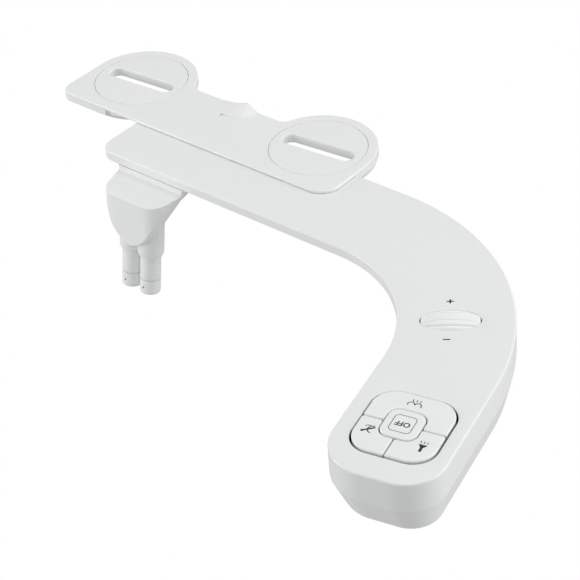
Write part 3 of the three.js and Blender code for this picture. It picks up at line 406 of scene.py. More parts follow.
def armPoint(u, s):
    # u runs across the arm and s along it, towards its free end
    return np.array([math.cos(splay) * u + math.sin(splay) * s, math.sin(splay) * u - math.cos(splay) * s])


def bendPoint(radius, degrees):
    # radius and angle about the bend's centre
    turn = math.radians(degrees)
    return bendAt + radius * np.array([math.cos(turn), math.sin(turn)])


def boxPoint(a, t):
    # a runs across the bend from its centre, and t past the line where the body becomes deep
    return bendAt + a * across + t * onward


def pastDeepLine(flat):
    # distance beyond the line across the bend where the body becomes deep
    return (np.asarray(flat) - bendAt) @ onward


def cutCorner(start):
    # where the line that cuts off the deep part's inner corner begins, across the bend
    return body["cutFrom"] + start * (math.hypot(1, body["cutSlope"]) - 1) / body["cutSlope"]


def cutMeets(radius, start):
    # distance past the deep line at which that line reaches the given radius of the bend
    side, k = cutCorner(start), body["cutSlope"]
    a, b, c = 1 + 1 / k**2, 2 * start - 2 * side / k, side**2 + start**2 - radius**2
    return start + (0 if c <= 0 else (-b - math.sqrt(b * b - 4 * a * c)) / (2 * a))


def seamHeight(flat):
    # underside of the top cover: level under the wing, then a long slope down along the arm
    t = pastDeepLine(flat)
    side = (np.asarray(flat) - bendAt) @ across
    shallow = (t < 0) | ((t < body["cutReach"]) & (side < body["cutFrom"] - t / body["cutSlope"]))
    return np.where(shallow, 0.0, body["seamFrom"] - body["seamSlope"] * t)


def armEndArcs():
    # the two rounded corners at the arm's free end
    x, y = armPoint(bendOffset + body["inner"] + body["innerCorner"], body["end"] - body["innerCorner"])
    u, v = armPoint(bendOffset + body["outer"] - body["outerCorner"], body["end"] - body["outerCorner"])
    a = body["splay"] + 180
    return [(x, y, body["innerCorner"], a, a + 90, 40), (u, v, body["outerCorner"], a + 90, a + 180, 40)]


def bodyOutline(inset, upTo=None):
    # the wing, bend and arm, with the hollows that clear the bracket's round lobes
    # upTo ends it at that distance past the deep line
    inset = inset + body["skinGap"]
    bx, by, line, split = body["bendX"], body["bendY"], body["splay"], body["deepFrom"]
    rear = by + body["outer"] - inset
    lobe = body["notch"] + inset
    rise = math.degrees(math.asin(rear / lobe))
    left = body["left"] + inset
    foot = -math.degrees(math.acos((left + boltHalf) / lobe))
    corner = (body["left"] + body["wingCorner"], by + body["inner"] + body["wingCorner"])
    arcs = [
        (*corner, body["wingCorner"], 180, 270, 16),
        (bx, by, body["inner"], 90, split + 0.01, 46),
        (bx, by, body["inner"], split - 0.01, line, 46),
        *armEndArcs(),
        (bx, by, body["outer"], line, split - 0.01, 60),
        (bx, by, body["outer"], split + 0.01, 90, 60),
        (boltHalf, 0, body["notch"], rise, -180 - rise, 64),
        (-boltHalf, 0, body["notch"], rise, foot, 16),
    ]
    if upTo is None:
        return arcLoop(arcs, inset)
    low, high = body["inner"] + inset, body["outer"] - inset
    first = split - math.degrees(math.asin(cutMeets(low, upTo) / low))
    last = split - math.degrees(math.asin(upTo / high))
    turn = boxPoint(cutCorner(upTo), upTo)
    start = arcLoop([arcs[0], (bx, by, body["inner"], 90, first, 46)], inset)
    back = arcLoop([(bx, by, body["outer"], last, 90, 60), *arcs[-2:]], inset)
    return np.vstack([start, turn, back])


def tubOutline(start):
    # the deep part only, closed by a straight line across the bend at that distance past the deep line
    def outline(inset):
        inset = inset + body["skinGap"]
        bx, by, line, split = body["bendX"], body["bendY"], body["splay"], body["deepFrom"]
        low, high = body["inner"] + inset, body["outer"] - inset
        first = split - math.degrees(math.asin(cutMeets(low, start) / low))
        last = split - math.degrees(math.asin(start / high))
        inner = (bx, by, body["inner"], first, line, 60)
        outer = (bx, by, body["outer"], line, last, 70)
        corner = boxPoint(max(cutCorner(start), math.sqrt(low**2 - start**2) + 0.01), start)
        return np.vstack([arcLoop([inner, *armEndArcs(), outer], inset), corner])

    return outline


# the key well in the arm and its keys
panel = {
    "u": 211.9,
    "s": 219.2,
    "wellWidth": 45.1,
    "wellLength": 47.3,
    "wellCorner": 13.0,
    "gap": 0.6,
    "crossX": -0.8,  # where the gaps between the keys cross
    "crossY": 0.6,
    "top": 6.7,
    "under": 2.6,
    "edge": 0.9,
    "offWidth": 19.1,
    "offLength": 20.0,
    "offCorner": 5.5,
    "offEdge": 0.75,
    "offRise": 0.2,
    "stem": 2.5,
    "stemUnder": -5.0,
}
panelAt = armPoint(panel["u"], panel["s"])
panelPlace = Matrix.Translation((*panelAt, 0)) @ Matrix.Rotation(splay, 4, "Z")

wheel = {
    "angle": 34.5,  # degrees round the bend
    "at": 105.2,
    "half": 15.5,
    "radius": 11.0,
    "drop": 7.5,  # its axis lies this far below the cover's top
    "ribs": 20,
    "ribDepth": 0.42,
    "furrowPower": 6,  # the higher, the narrower the furrows
    "fade": 7.0,  # the ribs are whole from one seventh of the half width inwards
    "windowGap": 0.45,
    "windowEnds": 0.35,
    "endGap": 0.3,
}
wheelAt = bendPoint(wheel["at"], wheel["angle"])
wheelTurn = Matrix.Rotation(math.radians(wheel["angle"]), 4, "Z")
wheelPlace = Matrix.Translation((*wheelAt, body["top"] - wheel["drop"])) @ wheelTurn


def placed(outline, place):
    # the same outline after a turn and a shift in plan
    turn = np.array(place)

    def moved(inset):
        return outline(inset) @ turn[:2, :2].T + turn[:2, 3]

    return moved


def barrelRadius(x):
    # the wheel's bulge: its cut by the flat top is an ellipse
    crown = (wheel["radius"] ** 2 - wheel["drop"] ** 2) * np.maximum(0, 1 - (x / wheel["half"]) ** 2)
    return np.sqrt(wheel["drop"] ** 2 + crown)


def wheelWindow(inset):
    # the oval opening over the wheel, a little larger than the wheel's own cut by the top
    turn = np.linspace(0, 2 * np.pi, 120, endpoint=False)
    long = wheel["half"] + wheel["windowEnds"] - inset
    short = math.sqrt((wheel["radius"] + wheel["windowGap"]) ** 2 - wheel["drop"] ** 2) - inset
    return np.stack([long * np.cos(turn), short * np.sin(turn)], 1)


wellOutline = roundedRectangle(panel["wellWidth"], panel["wellLength"], panel["wellCorner"], count=24)

# top cover: one skin with a well for the keys, a window for the wheel and posts for the screws
cover = {
    "bossRadius": 3.4,
    "bossUnder": -4.0,
    "hoodBossRadius": 3.0,
    "pilot": 1.3,
    "pilotTop": 3.6,
    "wellEdge": 0.5,
    "windowEdge": 0.35,
    "tongue": (24, 8.2, -5.1),  # width, length and y of the snap tongue that holds the bracket
    "hook": (3.4, 3.4, -3.0),
    "latchUnder": 3.0,
    "tongueTop": 4.6,
    "hookTop": 7.3,
}
screwSpots = [armPoint(panel["u"], 247.9), armPoint(192.3, 188), armPoint(232.6, 188)]
screwSpots += [boxPoint(89, 10), boxPoint(128, 9)]
hoodScrews = [(-19, -61.5), (19, -61.5)]

shape = newShape()
# from the inner ceiling down the inner wall, over the lower rim, up the outer wall and round onto the top
walls = [(body["wall"], body["ceiling"]), (body["wall"], seamHeight), (0, seamHeight)]
rim = carried(bodyOutline, walls + roundedEdge(body["edge"], body["top"], steps=10))
addGrid(shape, rim)
well = (wellOutline, panelPlace, cover["wellEdge"])
holes = []
for outline, place, edge in (well, (wheelWindow, wheelPlace, cover["windowEdge"])):
    wall = carried(placed(outline, place), roundedEdge(edge, body["top"], False) + [(0, body["ceiling"])])
    addGrid(shape, wall)
    holes.append(wall)
addCap(shape, [rim[-1]] + [wall[0] for wall in holes])
addCap(shape, [rim[0]] + [wall[-1] for wall in holes], False)
bosses = [(spot, cover["bossUnder"], cover["bossRadius"]) for spot in screwSpots]
bosses += [(spot, 0.0, cover["hoodBossRadius"]) for spot in hoodScrews]
for (x, y), low, r in bosses:
    pilot = [(cover["pilot"], cover["pilotTop"]), (cover["pilot"], low)]
    addTurned(shape, pilot + [(r, low), (r, body["ceiling"])], x, y, 32)
width, length, y = cover["tongue"]
addSlab(shape, roundedRectangle(width, length, 0.5, 0, y, 3), cover["latchUnder"], cover["tongueTop"], 0.15)
width, length, y = cover["hook"]
addSlab(shape, roundedRectangle(width, length, 0.5, 0, y, 4), cover["latchUnder"], cover["hookTop"], 0.3)
finishPiece("topCover", shape, "housing", shellWhite, ["top_cover"])
print("top cover built")

# bottom cover: a deep tub under the arm, with screw posts, and a thin sheet under the wing
tub = {
    "start": 0.3,  # past the deep line
    "bottom": -27.0,
    "floor": -25.0,
    "taperIn": 5.4,
    "taperHeight": 15.7,
    "wall": 2.0,
    "gap": 0.004,
    "shift": 1.9,
    "footRound": 2.4,
    "shoulderRound": 0.5,
    "post": 3.8,
    "postTop": -4.3,
    "bore": 1.5,
    "sink": 2.9,
    "sinkTop": -8.0,
}
sheet = {"gap": 0.12, "upTo": 2.2, "top": 1.2, "edge": 0.05}
rear = {"side": 2.1, "from": 0.32, "to": 2.28, "bottom": -7.6, "top": 0.6}


def taper(bottom, height, extra):
    # a straight slope, eased where it meets the floor and the upright wall
    foot, shoulder = (extra + tub["taperIn"], bottom), (extra, bottom + height)
    floorEnd, wallEnd = (foot[0] + 3.0, bottom), (extra, shoulder[1] + 0.6)
    return softened([floorEnd, foot, shoulder, wallEnd], [tub["footRound"], tub["shoulderRound"]], 6)


def leanTub(rings):
    # towards its floor the tub stands a little further out across the arm; its rear wall stays upright
    leaned = []
    for ring in rings:
        depth = np.clip((tub["bottom"] + tub["taperHeight"] - ring[:, 2]) / tub["taperHeight"], 0, 1)[:, None]
        way = depth * armPoint(tub["shift"], 0)
        first = pastDeepLine(ring[:, :2]) < 3
        way[first] -= (way[first] @ onward)[:, None] * onward
        leaned.append(np.column_stack([ring[:, :2] + way, np.minimum(ring[:, 2], tubRim(ring[:, :2]))]))
    return leaned


def tubRim(flat):
    # just under the top cover's seam, read a touch further on, past the seam's step at the deep line
    return seamHeight(np.asarray(flat) + 0.001 * onward) - tub["gap"]


shape = newShape()
outerProfile = [*taper(tub["bottom"], tub["taperHeight"], 0), (0, tubRim)]
innerProfile = [*taper(tub["floor"], tub["taperHeight"] - tub["wall"], tub["wall"]), (tub["wall"], tubRim)]
outerRings = leanTub(carried(tubOutline(tub["start"]), outerProfile))
innerRings = leanTub(carried(tubOutline(tub["start"] + tub["wall"]), innerProfile))[::-1]
# both outlines have the same count, so the rim between the outer and the inner wall is one more strip
addGrid(shape, outerRings + innerRings)
postSteps = [(tub["post"], tub["floor"]), (tub["post"], tub["postTop"]), (tub["bore"], tub["postTop"])]
postSteps += [(tub["bore"], tub["sinkTop"]), (tub["sink"], tub["sinkTop"]), (tub["sink"], tub["bottom"])]
floorHoles, bottomHoles = [], []
for x, y in screwSpots:
    addTurned(shape, postSteps, x, y, 32)
    floorHoles += carried(circle(tub["post"], x, y, 32), [(0, tub["floor"])])
    bottomHoles += carried(circle(tub["sink"], x, y, 32), [(0, tub["bottom"])])
addCap(shape, [innerRings[-1]] + floorHoles)
addCap(shape, [outerRings[0]] + bottomHoles, False)


def wingSheet(inset):
    # the thin sheet that closes the wing from below, inside the top cover's walls, up to the deep part
    return bodyOutline(inset + body["wall"] + sheet["gap"], sheet["upTo"])


hoseDoor = roundedRectangle(24, 13, 1.5, 0, -60, 5)
hoodHoles = [circle(3.3, x, y, 32) for x, y in hoodScrews]
addSlab(shape, wingSheet, 0.0, sheet["top"], sheet["edge"], [hoseDoor, *hoodHoles], sheet["edge"])


def rearWall(inset):
    # the low wall across the bend, between the bend's two sides, with its inner corner cut off
    low, high = body["inner"] + rear["side"] + inset, body["outer"] - rear["side"] - inset
    near, far = rear["from"] + inset, rear["to"] - inset
    first, last = ((math.sqrt(low**2 - t**2), t) for t in (cutMeets(low, near), cutMeets(low, far)))
    spots = [first, (cutCorner(near), near), (high, near), (high, far), (cutCorner(far), far), last]
    return np.array([boxPoint(a, t) for a, t in spots])[::-1]


addSlab(shape, rearWall, rear["bottom"], rear["top"], sheet["edge"])
finishPiece("bottomCover", shape, "housing", shellWhite, ["bottom_cover"])
print("bottom cover built")

# mounting bracket: a thin plate with two round seats, thick parts under it and a release tab
bracket = {
    "half": boltHalf,
    "lobe": 35.0,
    "seatSkin": 29.12,
    "front": -36.8,
    "rear": 9.8,
    "fillet": 5.0,
    "top": 8.0,
    "lip": 6.3,
    "under": 2.0,
    "edge": 0.7,
    "rightCorner": 12.0,
    "leftCorner": 8.0,
    "ledge": 26.3,
    "footTop": 5.0,
    "footRear": 7.9,
    "footEnd": -66.5,
    "skinGap": 0.04,
}


def plateArcs(start):
    # round the right lobe from that angle, along the rear edge by two fillets, then round the left lobe
    half, lobe, fillet, left = (bracket[key] for key in ("half", "lobe", "fillet", "leftCorner"))
    level = bracket["rear"] + fillet
    reach = math.sqrt((lobe + fillet) ** 2 - level**2)
    tangent = math.degrees(math.atan2(level, reach))
    return [
        (half, 0, lobe, start, 180 - tangent, 70),
        (half - reach, level, fillet, -tangent, -90, 14),
        (reach - half, level, fillet, -90, tangent - 180, 14),
        (-half, 0, lobe, tangent, 180, 70),
        (-half - lobe + left, bracket["front"] + left, left, 180, 270, 16),
    ]


def bracketOutline(inset):
    # the whole plate: the straight front edge with its corners, and the lobes
    right = bracket["rightCorner"]
    corner = (bracket["half"] + bracket["lobe"] - right, bracket["front"] + right, right, -90, 0, 20)
    return arcLoop([corner, *plateArcs(0)], inset + bracket["skinGap"])


def bracketFoot(inset):
    # what stands below the thin lip: both lobes, the rear strip and the thick left end
    half, lobe = bracket["half"], bracket["lobe"]
    rise = math.degrees(math.asin(bracket["footRear"] / lobe))
    arcs = [
        (half, 0, lobe, -180 + rise, -rise, 60),
        *plateArcs(-rise + 0.5),
        (bracket["footEnd"], bracket["front"] + 0.5, 0.5, 270, 360, 4),
        (-half, 0, lobe, -82, -rise, 50),
    ]
    return arcLoop(arcs, inset + bracket["skinGap"])


shape = newShape()
window = roundedRectangle(4, 4, 0.6, 0, -3, 5)
seats = [circle(bracket["seatSkin"], x, 0, 128) for x in (-bracket["half"], bracket["half"])]
addSlab(shape, bracketOutline, bracket["lip"], bracket["top"], bracket["edge"], [*seats, window], 0.3)
ledges = [circle(bracket["ledge"], x, 0, 96) for x in (-bracket["half"], bracket["half"])]
# thick parts under the lip, and the ledge in each seat that the disc rests on
addSlab(shape, bracketFoot, bracket["under"], bracket["footTop"], 0.02, ledges, 0.02, footEdge=0.5)
addGrid(shape, carried(bracketFoot, [(0, bracket["footTop"]), (0, bracket["lip"] + 0.02)]))
for seat in seats:
    addGrid(shape, carried(seat, [(0, bracket["lip"]), (0, bracket["footTop"])]))

# the release tab: a ridge that leans to the right, steep on that flank and soft in front
tab = {
    "front": -2.7,
    "left": -10.6,
    "right": 17.4,
    "crest": [(-11, 0), (-10, 0.02), (-6, 0.55), (1, 2.0), (5, 3.6)],  # x and height along its rear edge
    "flank": [(8.5, 4.85), (10.8, 4.6), (13.5, 1.6), (17, 0.05), (18, 0)],
    "dip": 0.18,  # the crest falls by this share in the last tenth
    "sunk": 0.03,
    "skirt": 1.2,
}
tabX = np.linspace(tab["left"], tab["right"], 90)
tabShare = np.linspace(0, 1, 40)
knots = np.array(tab["crest"] + tab["flank"], float)
ridge = np.interp(tabX, knots[:, 0], knots[:, 1])
kernel = np.exp(-np.linspace(-2, 2, 11) ** 2)
ridge = np.convolve(np.pad(ridge, 5, mode="edge"), kernel / kernel.sum(), mode="valid")
soft = tabShare**2 * (3 - 2 * tabShare)
rounding = np.where(tabShare > 0.9, 1 - tab["dip"] * ((tabShare - 0.9) / 0.1) ** 2, 1.0)
lift = (soft * rounding)[:, None] * ridge[None, :]
tabY = tab["front"] + tabShare * (bracket["rear"] - 0.06 - tab["front"])
gridX, gridY = np.meshgrid(tabX, tabY)
surface = np.stack([gridX, gridY, bracket["top"] - tab["sunk"] + lift], -1)
front, back = surface[:1].copy(), surface[-1:].copy()
front[..., 2] = bracket["top"] - tab["skirt"]
back[..., 2] = bracket["top"] - tab["skirt"]
addGrid(shape, np.concatenate([front, surface, back]), closed=False)
finishPiece("mountingBracket", shape, "housing", shellWhite, ["mounting_bracket"])
print("bracket built")

# slotted discs and the soft rim pads under the bracket
disc = {
    "radius": 28.92,
    "boss": 26.0,
    "under": 2.3,
    "ledge": 5.3,
    "top": 8.0,
    "edge": 0.45,
    "slotLength": 48.0,
    "slotWidth": 10.0,
    "slotEdge": 0.9,
    "leftTurn": 4.0,  # degrees
    "rightTurn": 5.5,
}
pad = {"radius": 34.0, "bore": 27.5, "top": 1.7, "edge": 0.5}
for side, x, turn in (("left", -boltHalf, disc["leftTurn"]), ("right", boltHalf, disc["rightTurn"])):
    shape = newShape()
    place = Matrix.Translation((x, 0, 0)) @ Matrix.Rotation(math.radians(turn), 4, "Z")
    neck = disc["radius"] - disc["boss"]
    profile = [(neck, disc["under"]), (neck, disc["ledge"]), (0, disc["ledge"])]
    rings = carried(circle(disc["radius"], count=144), profile + roundedEdge(disc["edge"], disc["top"]))
    addGrid(shape, rings)
    slot = roundedRectangle(disc["slotLength"], disc["slotWidth"], disc["slotWidth"] / 2 - 0.01, count=20)
    wall = carried(slot, roundedEdge(disc["slotEdge"], disc["top"], False) + [(0, disc["under"])])
    addGrid(shape, wall)
    addCap(shape, [rings[-1], wall[0]])
    addCap(shape, [rings[0], wall[-1]], False)
    node = side + "_mount_disc"
    finishPiece(side + "MountDisc", shape, side + "_disc", shellWhite, [node], place)
    shape = newShape()
    addSlab(shape, circle(pad["radius"], x, 0), 0.0, pad["top"], pad["edge"], [circle(pad["bore"], x, 0)], 0.4)
    finishPiece(side + "RimPad", shape, "housing", softWhite, [side + "_rim_pad"])
shape = newShape()
addSlab(shape, roundedRectangle(40, 13, 3, 0, 1), 0.0, pad["top"], pad["edge"])
finishPiece("centreRimPad", shape, "housing", softWhite, ["centre_rim_pad"])
print("discs and pads built")

# keys: three outer ones round the square off key, each a slab with its own arcs
padWidth, padLength = panel["wellWidth"] - 2 * panel["gap"], panel["wellLength"] - 2 * panel["gap"]
c = panel["wellCorner"] - panel["gap"]
nip = 1.1  # radius of the small corners where keys meet
ox, oy = panel["crossX"], panel["crossY"]
offSizes = (panel["offWidth"] / 2, panel["offLength"] / 2, panel["offCorner"])
hw, hl, hc = (size + panel["gap"] for size in offSizes)
half = panel["gap"] / 2
# the pad sits a touch off centre in its well, so the gap is widest along the near and right sides
right, left = padWidth / 2 - 0.5, padWidth / 2 - 0.25
far, near = padLength / 2, padLength / 2 - 0.55
keyArcs = {
    "front_wash": [
        (right - nip, oy + half + nip, nip, -90, 0, 6),
        (right - c, far - c, c, 0, 90, 24),
        (-left + c, far - c, c, 90, 180, 24),
        (-left + nip, oy + half + nip, nip, 180, 270, 6),
        (ox - hw - nip, oy + half + nip, nip, 270, 360, 6),
        (ox - hw + hc, oy + hl - hc, hc, 180, 90, 14),
        (ox + hw - hc, oy + hl - hc, hc, 90, 0, 14),
        (ox + hw + nip, oy + half + nip, nip, 180, 270, 6),
    ],
    "self_clean": [
        (-left + c, -near + c, c, 180, 270, 24),
        (ox - half - nip, -near + nip, nip, 270, 360, 6),
        (ox - half - nip, oy - hl - nip, nip, 0, 90, 6),
        (ox - hw + hc, oy - hl + hc, hc, 270, 180, 14),
        (ox - hw - nip, oy - half - nip, nip, 0, 90, 6),
        (-left + nip, oy - half - nip, nip, 90, 180, 6),
    ],
    "rear_wash": [
        (right - c, -near + c, c, 270, 360, 24),
        (right - nip, oy - half - nip, nip, 0, 90, 6),
        (ox + hw + nip, oy - half - nip, nip, 90, 180, 6),
        (ox + hw - hc, oy - hl + hc, hc, 0, -90, 14),
        (ox + half + nip, oy - hl - nip, nip, 90, 180, 6),
        (ox + half + nip, -near + nip, nip, 180, 270, 6),
    ],
}
stems = {"front_wash": (ox, 15), "self_clean": (-13.5, -9.5), "rear_wash": (12.5, -9.5), "off": (ox, oy)}


def keyOutline(name):
    # the arcs of one outer key, joined by straight lines
    return lambda inset: arcLoop(keyArcs[name], inset)


offOutline = roundedRectangle(panel["offWidth"], panel["offLength"], panel["offCorner"], ox, oy, 18)
stem, stemUnder = panel["stem"], panel["stemUnder"]
stemSteps = [(0.01, stemUnder), (stem, stemUnder), (stem, panel["under"] + 0.2)]
for name, (x, y) in stems.items():
    shape = newShape()
    top = panel["top"] + (panel["offRise"] if name == "off" else 0.0)
    edge = panel["offEdge"] if name == "off" else panel["edge"]
    addSlab(shape, offOutline if name == "off" else keyOutline(name), panel["under"], top, edge)
    addTurned(shape, stemSteps, x, y, 32)
    finishPiece(name + "Key", shape, name + "_button", keyWhite, [name + "_key"], panelPlace)
print("keys built")

# printed marks: flat ribbons and blots that lie just above the keys and the cover
ink = {
    "lift": 0.012,
    "layer": 0.004,  # between strokes that cross
    "dropLength": 1.7,
    "barHalf": 1.85,
    "barWidth": 0.86,
    "frame": (11.2, 11.8, 2.1),  # width, length and corner
    "frameWidth": 0.42,
    "wordSize": 4.5,
    "wordBold": 0.12,
    "wordStretch": 0.98,
}


def addStroke(shape, points, width, z, closed=False):
    # a flat ribbon of that width along a line, as two edges offset to either side
    points = np.asarray(points, float)
    if closed:
        ahead, behind = np.roll(points, -1, 0), np.roll(points, 1, 0)
    else:
        ahead = np.vstack([points[1:], 2 * points[-1] - points[-2]])
        behind = np.vstack([2 * points[0] - points[1], points[:-1]])
    way = ahead - behind
    way /= np.linalg.norm(way, axis=1)[:, None]
    side = np.stack([-way[:, 1], way[:, 0]], 1) * width / 2
    edges = (points - side, points + side)
    addGrid(shape, [np.column_stack([edge, np.full(len(edge), z)]) for edge in edges], closed=closed)


def arcLine(x, y, radius, start, stop, count=16):
    # an open arc as a line of points
    angle = np.radians(np.linspace(start, stop, count))
    return np.stack([x + radius * np.cos(angle), y + radius * np.sin(angle)], 1)


def addBlot(shape, outline, z):
    # a filled outline at one height
    outline = np.asarray(outline, float)
    addCap(shape, [np.column_stack([outline, np.full(len(outline), z)])])


def addDrops(shape, x, y, drops, width):
    # short strokes over a nozzle; each has its foot and how far its head leans to the side
    for foot, lean in drops:
        line = [(x + foot, y), (x + foot + lean, y + ink["dropLength"])]
        addStroke(shape, line, width, keyZ)


def printPiece(name, shape, bodyName, material, place=panelPlace):
    # a mark that rides on its key, or stays on the cover
    finishPiece(name, shape, bodyName, material, (), place)


keyZ = panel["top"] + ink["lift"]
offZ = keyZ + panel["offRise"]

# off key: thin rounded frame and the word
shape = newShape()
addStroke(shape, roundedRectangle(*ink["frame"], ox, oy, 8)(0), ink["frameWidth"], offZ, True)
printPiece("offFrame", shape, "off_button", inkGreyAndHoleShade)
word = bpy.data.curves.new("offWord", "FONT")
word.body = "OFF"
word.size = ink["wordSize"]
word.align_x = "CENTER"
word.align_y = "CENTER"
word.offset = ink["wordBold"]
wordHolder = bpy.data.objects.new("offWordCurve", word)
scene.collection.objects.link(wordHolder)
wordMesh = bpy.data.meshes.new_from_object(wordHolder.evaluated_get(bpy.context.evaluated_depsgraph_get()))
bpy.data.objects.remove(wordHolder)
flatPoints = np.zeros(len(wordMesh.vertices) * 3, np.float32)
wordMesh.vertices.foreach_get("co", flatPoints)
wordX, wordY = flatPoints.reshape(-1, 3)[:, :2].T
# the word reads from the arm's free end, so it is turned half round
turned = np.stack([ox - wordX * ink["wordStretch"], oy - wordY, np.full(len(wordX), offZ)], 1)
shape = newShape()
shape["points"].append(turned)
shape["faces"] = [list(p.vertices) for p in wordMesh.polygons]
shape["flat"] = [True] * len(shape["faces"])
printPiece("offWord", shape, "off_button", printBlack)

# front wash: two shallow arcs side by side with three drops over them
shape = newShape()
fx, fy, bowl = -1.2, 16.6, 1.75
addStroke(shape, arcLine(fx - bowl, fy - 1.2, bowl, 0, 205), 0.55, keyZ)
addStroke(shape, arcLine(fx + bowl, fy - 1.2, bowl, -25, 180), 0.55, keyZ)
addDrops(shape, fx, fy + 1.1, ((-1.54, -0.4), (0.14, 0.0), (1.82, 0.4)), 0.45)
printPiece("frontWashMark", shape, "front_wash_button", printBlack)

# self-clean: a short nozzle under a spray arc
shape = newShape()
sx, sy = -14.5, -8.4
addStroke(shape, [(sx + 2.6, sy + 2.0), (sx - 2.4, sy - 1.7)], 1.0, keyZ)
addStroke(shape, arcLine(sx + 1.9, sy + 0.2, 2.5, 85, 265), 0.6, keyZ + ink["layer"])
addStroke(shape, arcLine(sx - 0.6, sy + 0.6, 2.0, 60, 150), 0.5, keyZ)
addBlot(shape, circle(0.75, sx - 2.7, sy - 1.9, 24)(0), keyZ + 2 * ink["layer"])
printPiece("selfCleanMark", shape, "self_clean_button", printBlack)

# rear wash: a funnel-shaped nozzle with three short drops
shape = newShape()
rx, ry = 14.0, -10.7
funnel = [(-0.75, -3.6), (0.75, -3.6), (0.7, -0.8), (2.3, 1.5), (-2.3, 1.5), (-0.7, -0.8)]
addBlot(shape, [(rx + a, ry + b) for a, b in funnel], keyZ)
addDrops(shape, rx, ry + 2.2, ((-1.43, -0.5), (0.0, 0.0), (1.43, 0.5)), 0.42)
printPiece("rearWashMark", shape, "rear_wash_button", printBlack)

# plus and minus on either side of the wheel, turned with it
shape = newShape()
markZ = body["top"] + ink["lift"]
turn = math.radians(wheel["angle"])
way = np.array([math.cos(turn), math.sin(turn)]) * ink["barHalf"]
plusAt, minusAt = np.array([216.8, -74.6]), np.array([233.5, -101.2])
upright = np.array([-way[1], way[0]]) * 0.92
bars = ((plusAt, way, 0), (plusAt, upright, ink["layer"]), (minusAt, way, 0))
for centre, step, layer in bars:
    addStroke(shape, [centre - step, centre + step], ink["barWidth"], markZ + layer)
printPiece("pressureMarks", shape, "housing", printBlack, Matrix.Identity(4))
print("marks printed")

# pressure wheel: a barrel on its side, ribbed round its bulge
shape = newShape()
end = wheel["half"] - wheel["endGap"]
x = np.concatenate([[-end] * 3, np.linspace(-end, end, 61)[1:-1], [end] * 3])
# each end closes in three steps: a small shoulder, a flat face and the centre
scaleRow = np.concatenate([[0, 0.25, 0.955], np.ones(59), [0.955, 0.25, 0]])
angle = np.linspace(0, 2 * np.pi, 480, endpoint=False)
# rounded ridges with narrow furrows, fading out towards both ends
fade = np.clip((1 - np.abs(x) / end) * wheel["fade"], 0, 1)
furrow = np.abs(np.cos(wheel["ribs"] * angle / 2)) ** wheel["furrowPower"]
r = (barrelRadius(x) * scaleRow)[:, None] - wheel["ribDepth"] * fade[:, None] * furrow[None, :]
addGrid(shape, np.stack([np.broadcast_to(x[:, None], r.shape), r * np.cos(angle), r * np.sin(angle)], -1))
finishPiece("pressureWheel", shape, "wheel", keyWhite, ["pressure_wheel"], wheelPlace)
print("wheel built")

# twin nozzles, side by side and leaning back; lengths run up from the tips
nozzle = {
    "tip": (0, -88.2, -67.9),
    "lean": 0.182,
    "spacing": 14.4,
    "radius": 6.15,
    "sleeve": 7.85,
    "bore": 6.45,
    "sleeveFrom": 25.2,
    "sleeveTo": 55.0,
    "length": 33.0,
    "shaftFrom": 9.8,
    "tipLength": 9.5,
    "seamAt": 21.1,
    "seamHalf": 0.25,
    "seamDepth": 0.28,
    "sealGroove": (28.6, 31.4),
    "grooveRadius": 5.0,
    "sprayAt": 5.0,
    "coil": (3.6, 0.35),  # radii of the return spring and its wire
    "coilTurns": 6,
}
reachX = nozzle["spacing"] / 2

# nozzle hood: a shield-shaped shell that leans back a little less than the nozzles, open behind
hood = {
    "lean": 0.1,
    "wall": 1.5,
    "crease": 2.0,
    "soften": 0.7,
    "top": -0.3,
    "waistZ": -9.0,
    "foot": -34.5,
    "shoulder": 26.4,  # half widths
    "waist": 23.3,
    "bulge": 13.5,
    "split": 0.3,  # share of v above the waist
    "straight": 11.7,  # the front edge in plan: half its straight stretch, then the corner's radius
    "corner": 11.4,
    "cornerY": -77.9,
    "sideX": [23.1, 26.0, 26.5],
    "sideY": [-77.9, -69.2, -54.0],
    "roofLevels": [-6.15, -4.85, -3.55, -0.3],  # how far forward the roof comes at each height
    "roofPlaces": [-100.0, -88.0, -69.7, -69.4],
    "backLevels": [-45, -24, -14, -7, -4, -2.6, -0.3],  # how far back the side walls go at each height
    "backPlaces": [-86, -82, -76, -70, -62, -54, -53.5],
    "boreSlope": 0.185,
    "boreReach": 7.0,
}


def hoodPlanFront(x):
    # the front edge seen from above: straight in the middle, then round corners, then slanting sides
    x = np.abs(x)
    over = np.maximum(0, x - hood["straight"])
    bow = hood["cornerY"] - np.sqrt(np.maximum(0, hood["corner"] ** 2 - over**2))
    return np.where(x < hood["straight"] + hood["corner"], bow, np.interp(x, hood["sideX"], hood["sideY"]))


def hoodFace(v):
    # half the shield seen from the front, from the shoulder (v 0) to the foot (v 1), as half width and height
    # above the waist it is a straight line, and below it a quadratic curve
    s, t = np.clip(v / hood["split"], 0, 1), np.clip((v - hood["split"]) / (1 - hood["split"]), 0, 1)
    straightX = hood["shoulder"] + (hood["waist"] - hood["shoulder"]) * s
    straightZ = hood["top"] + (hood["waistZ"] - hood["top"]) * s
    start, bend, stop = (1 - t) ** 2, 2 * t * (1 - t), t * t
    width = np.where(v < hood["split"], straightX, start * hood["waist"] + bend * hood["bulge"])
    height = np.where(v < hood["split"], straightZ, start * hood["waistZ"] + (bend + stop) * hood["foot"])
    return width, height


def softMax(a, b, size):
    # the larger of the two, with the corner between them rounded
    return (a + b + np.sqrt((a - b) ** 2 + size**2)) / 2


shape = newShape()
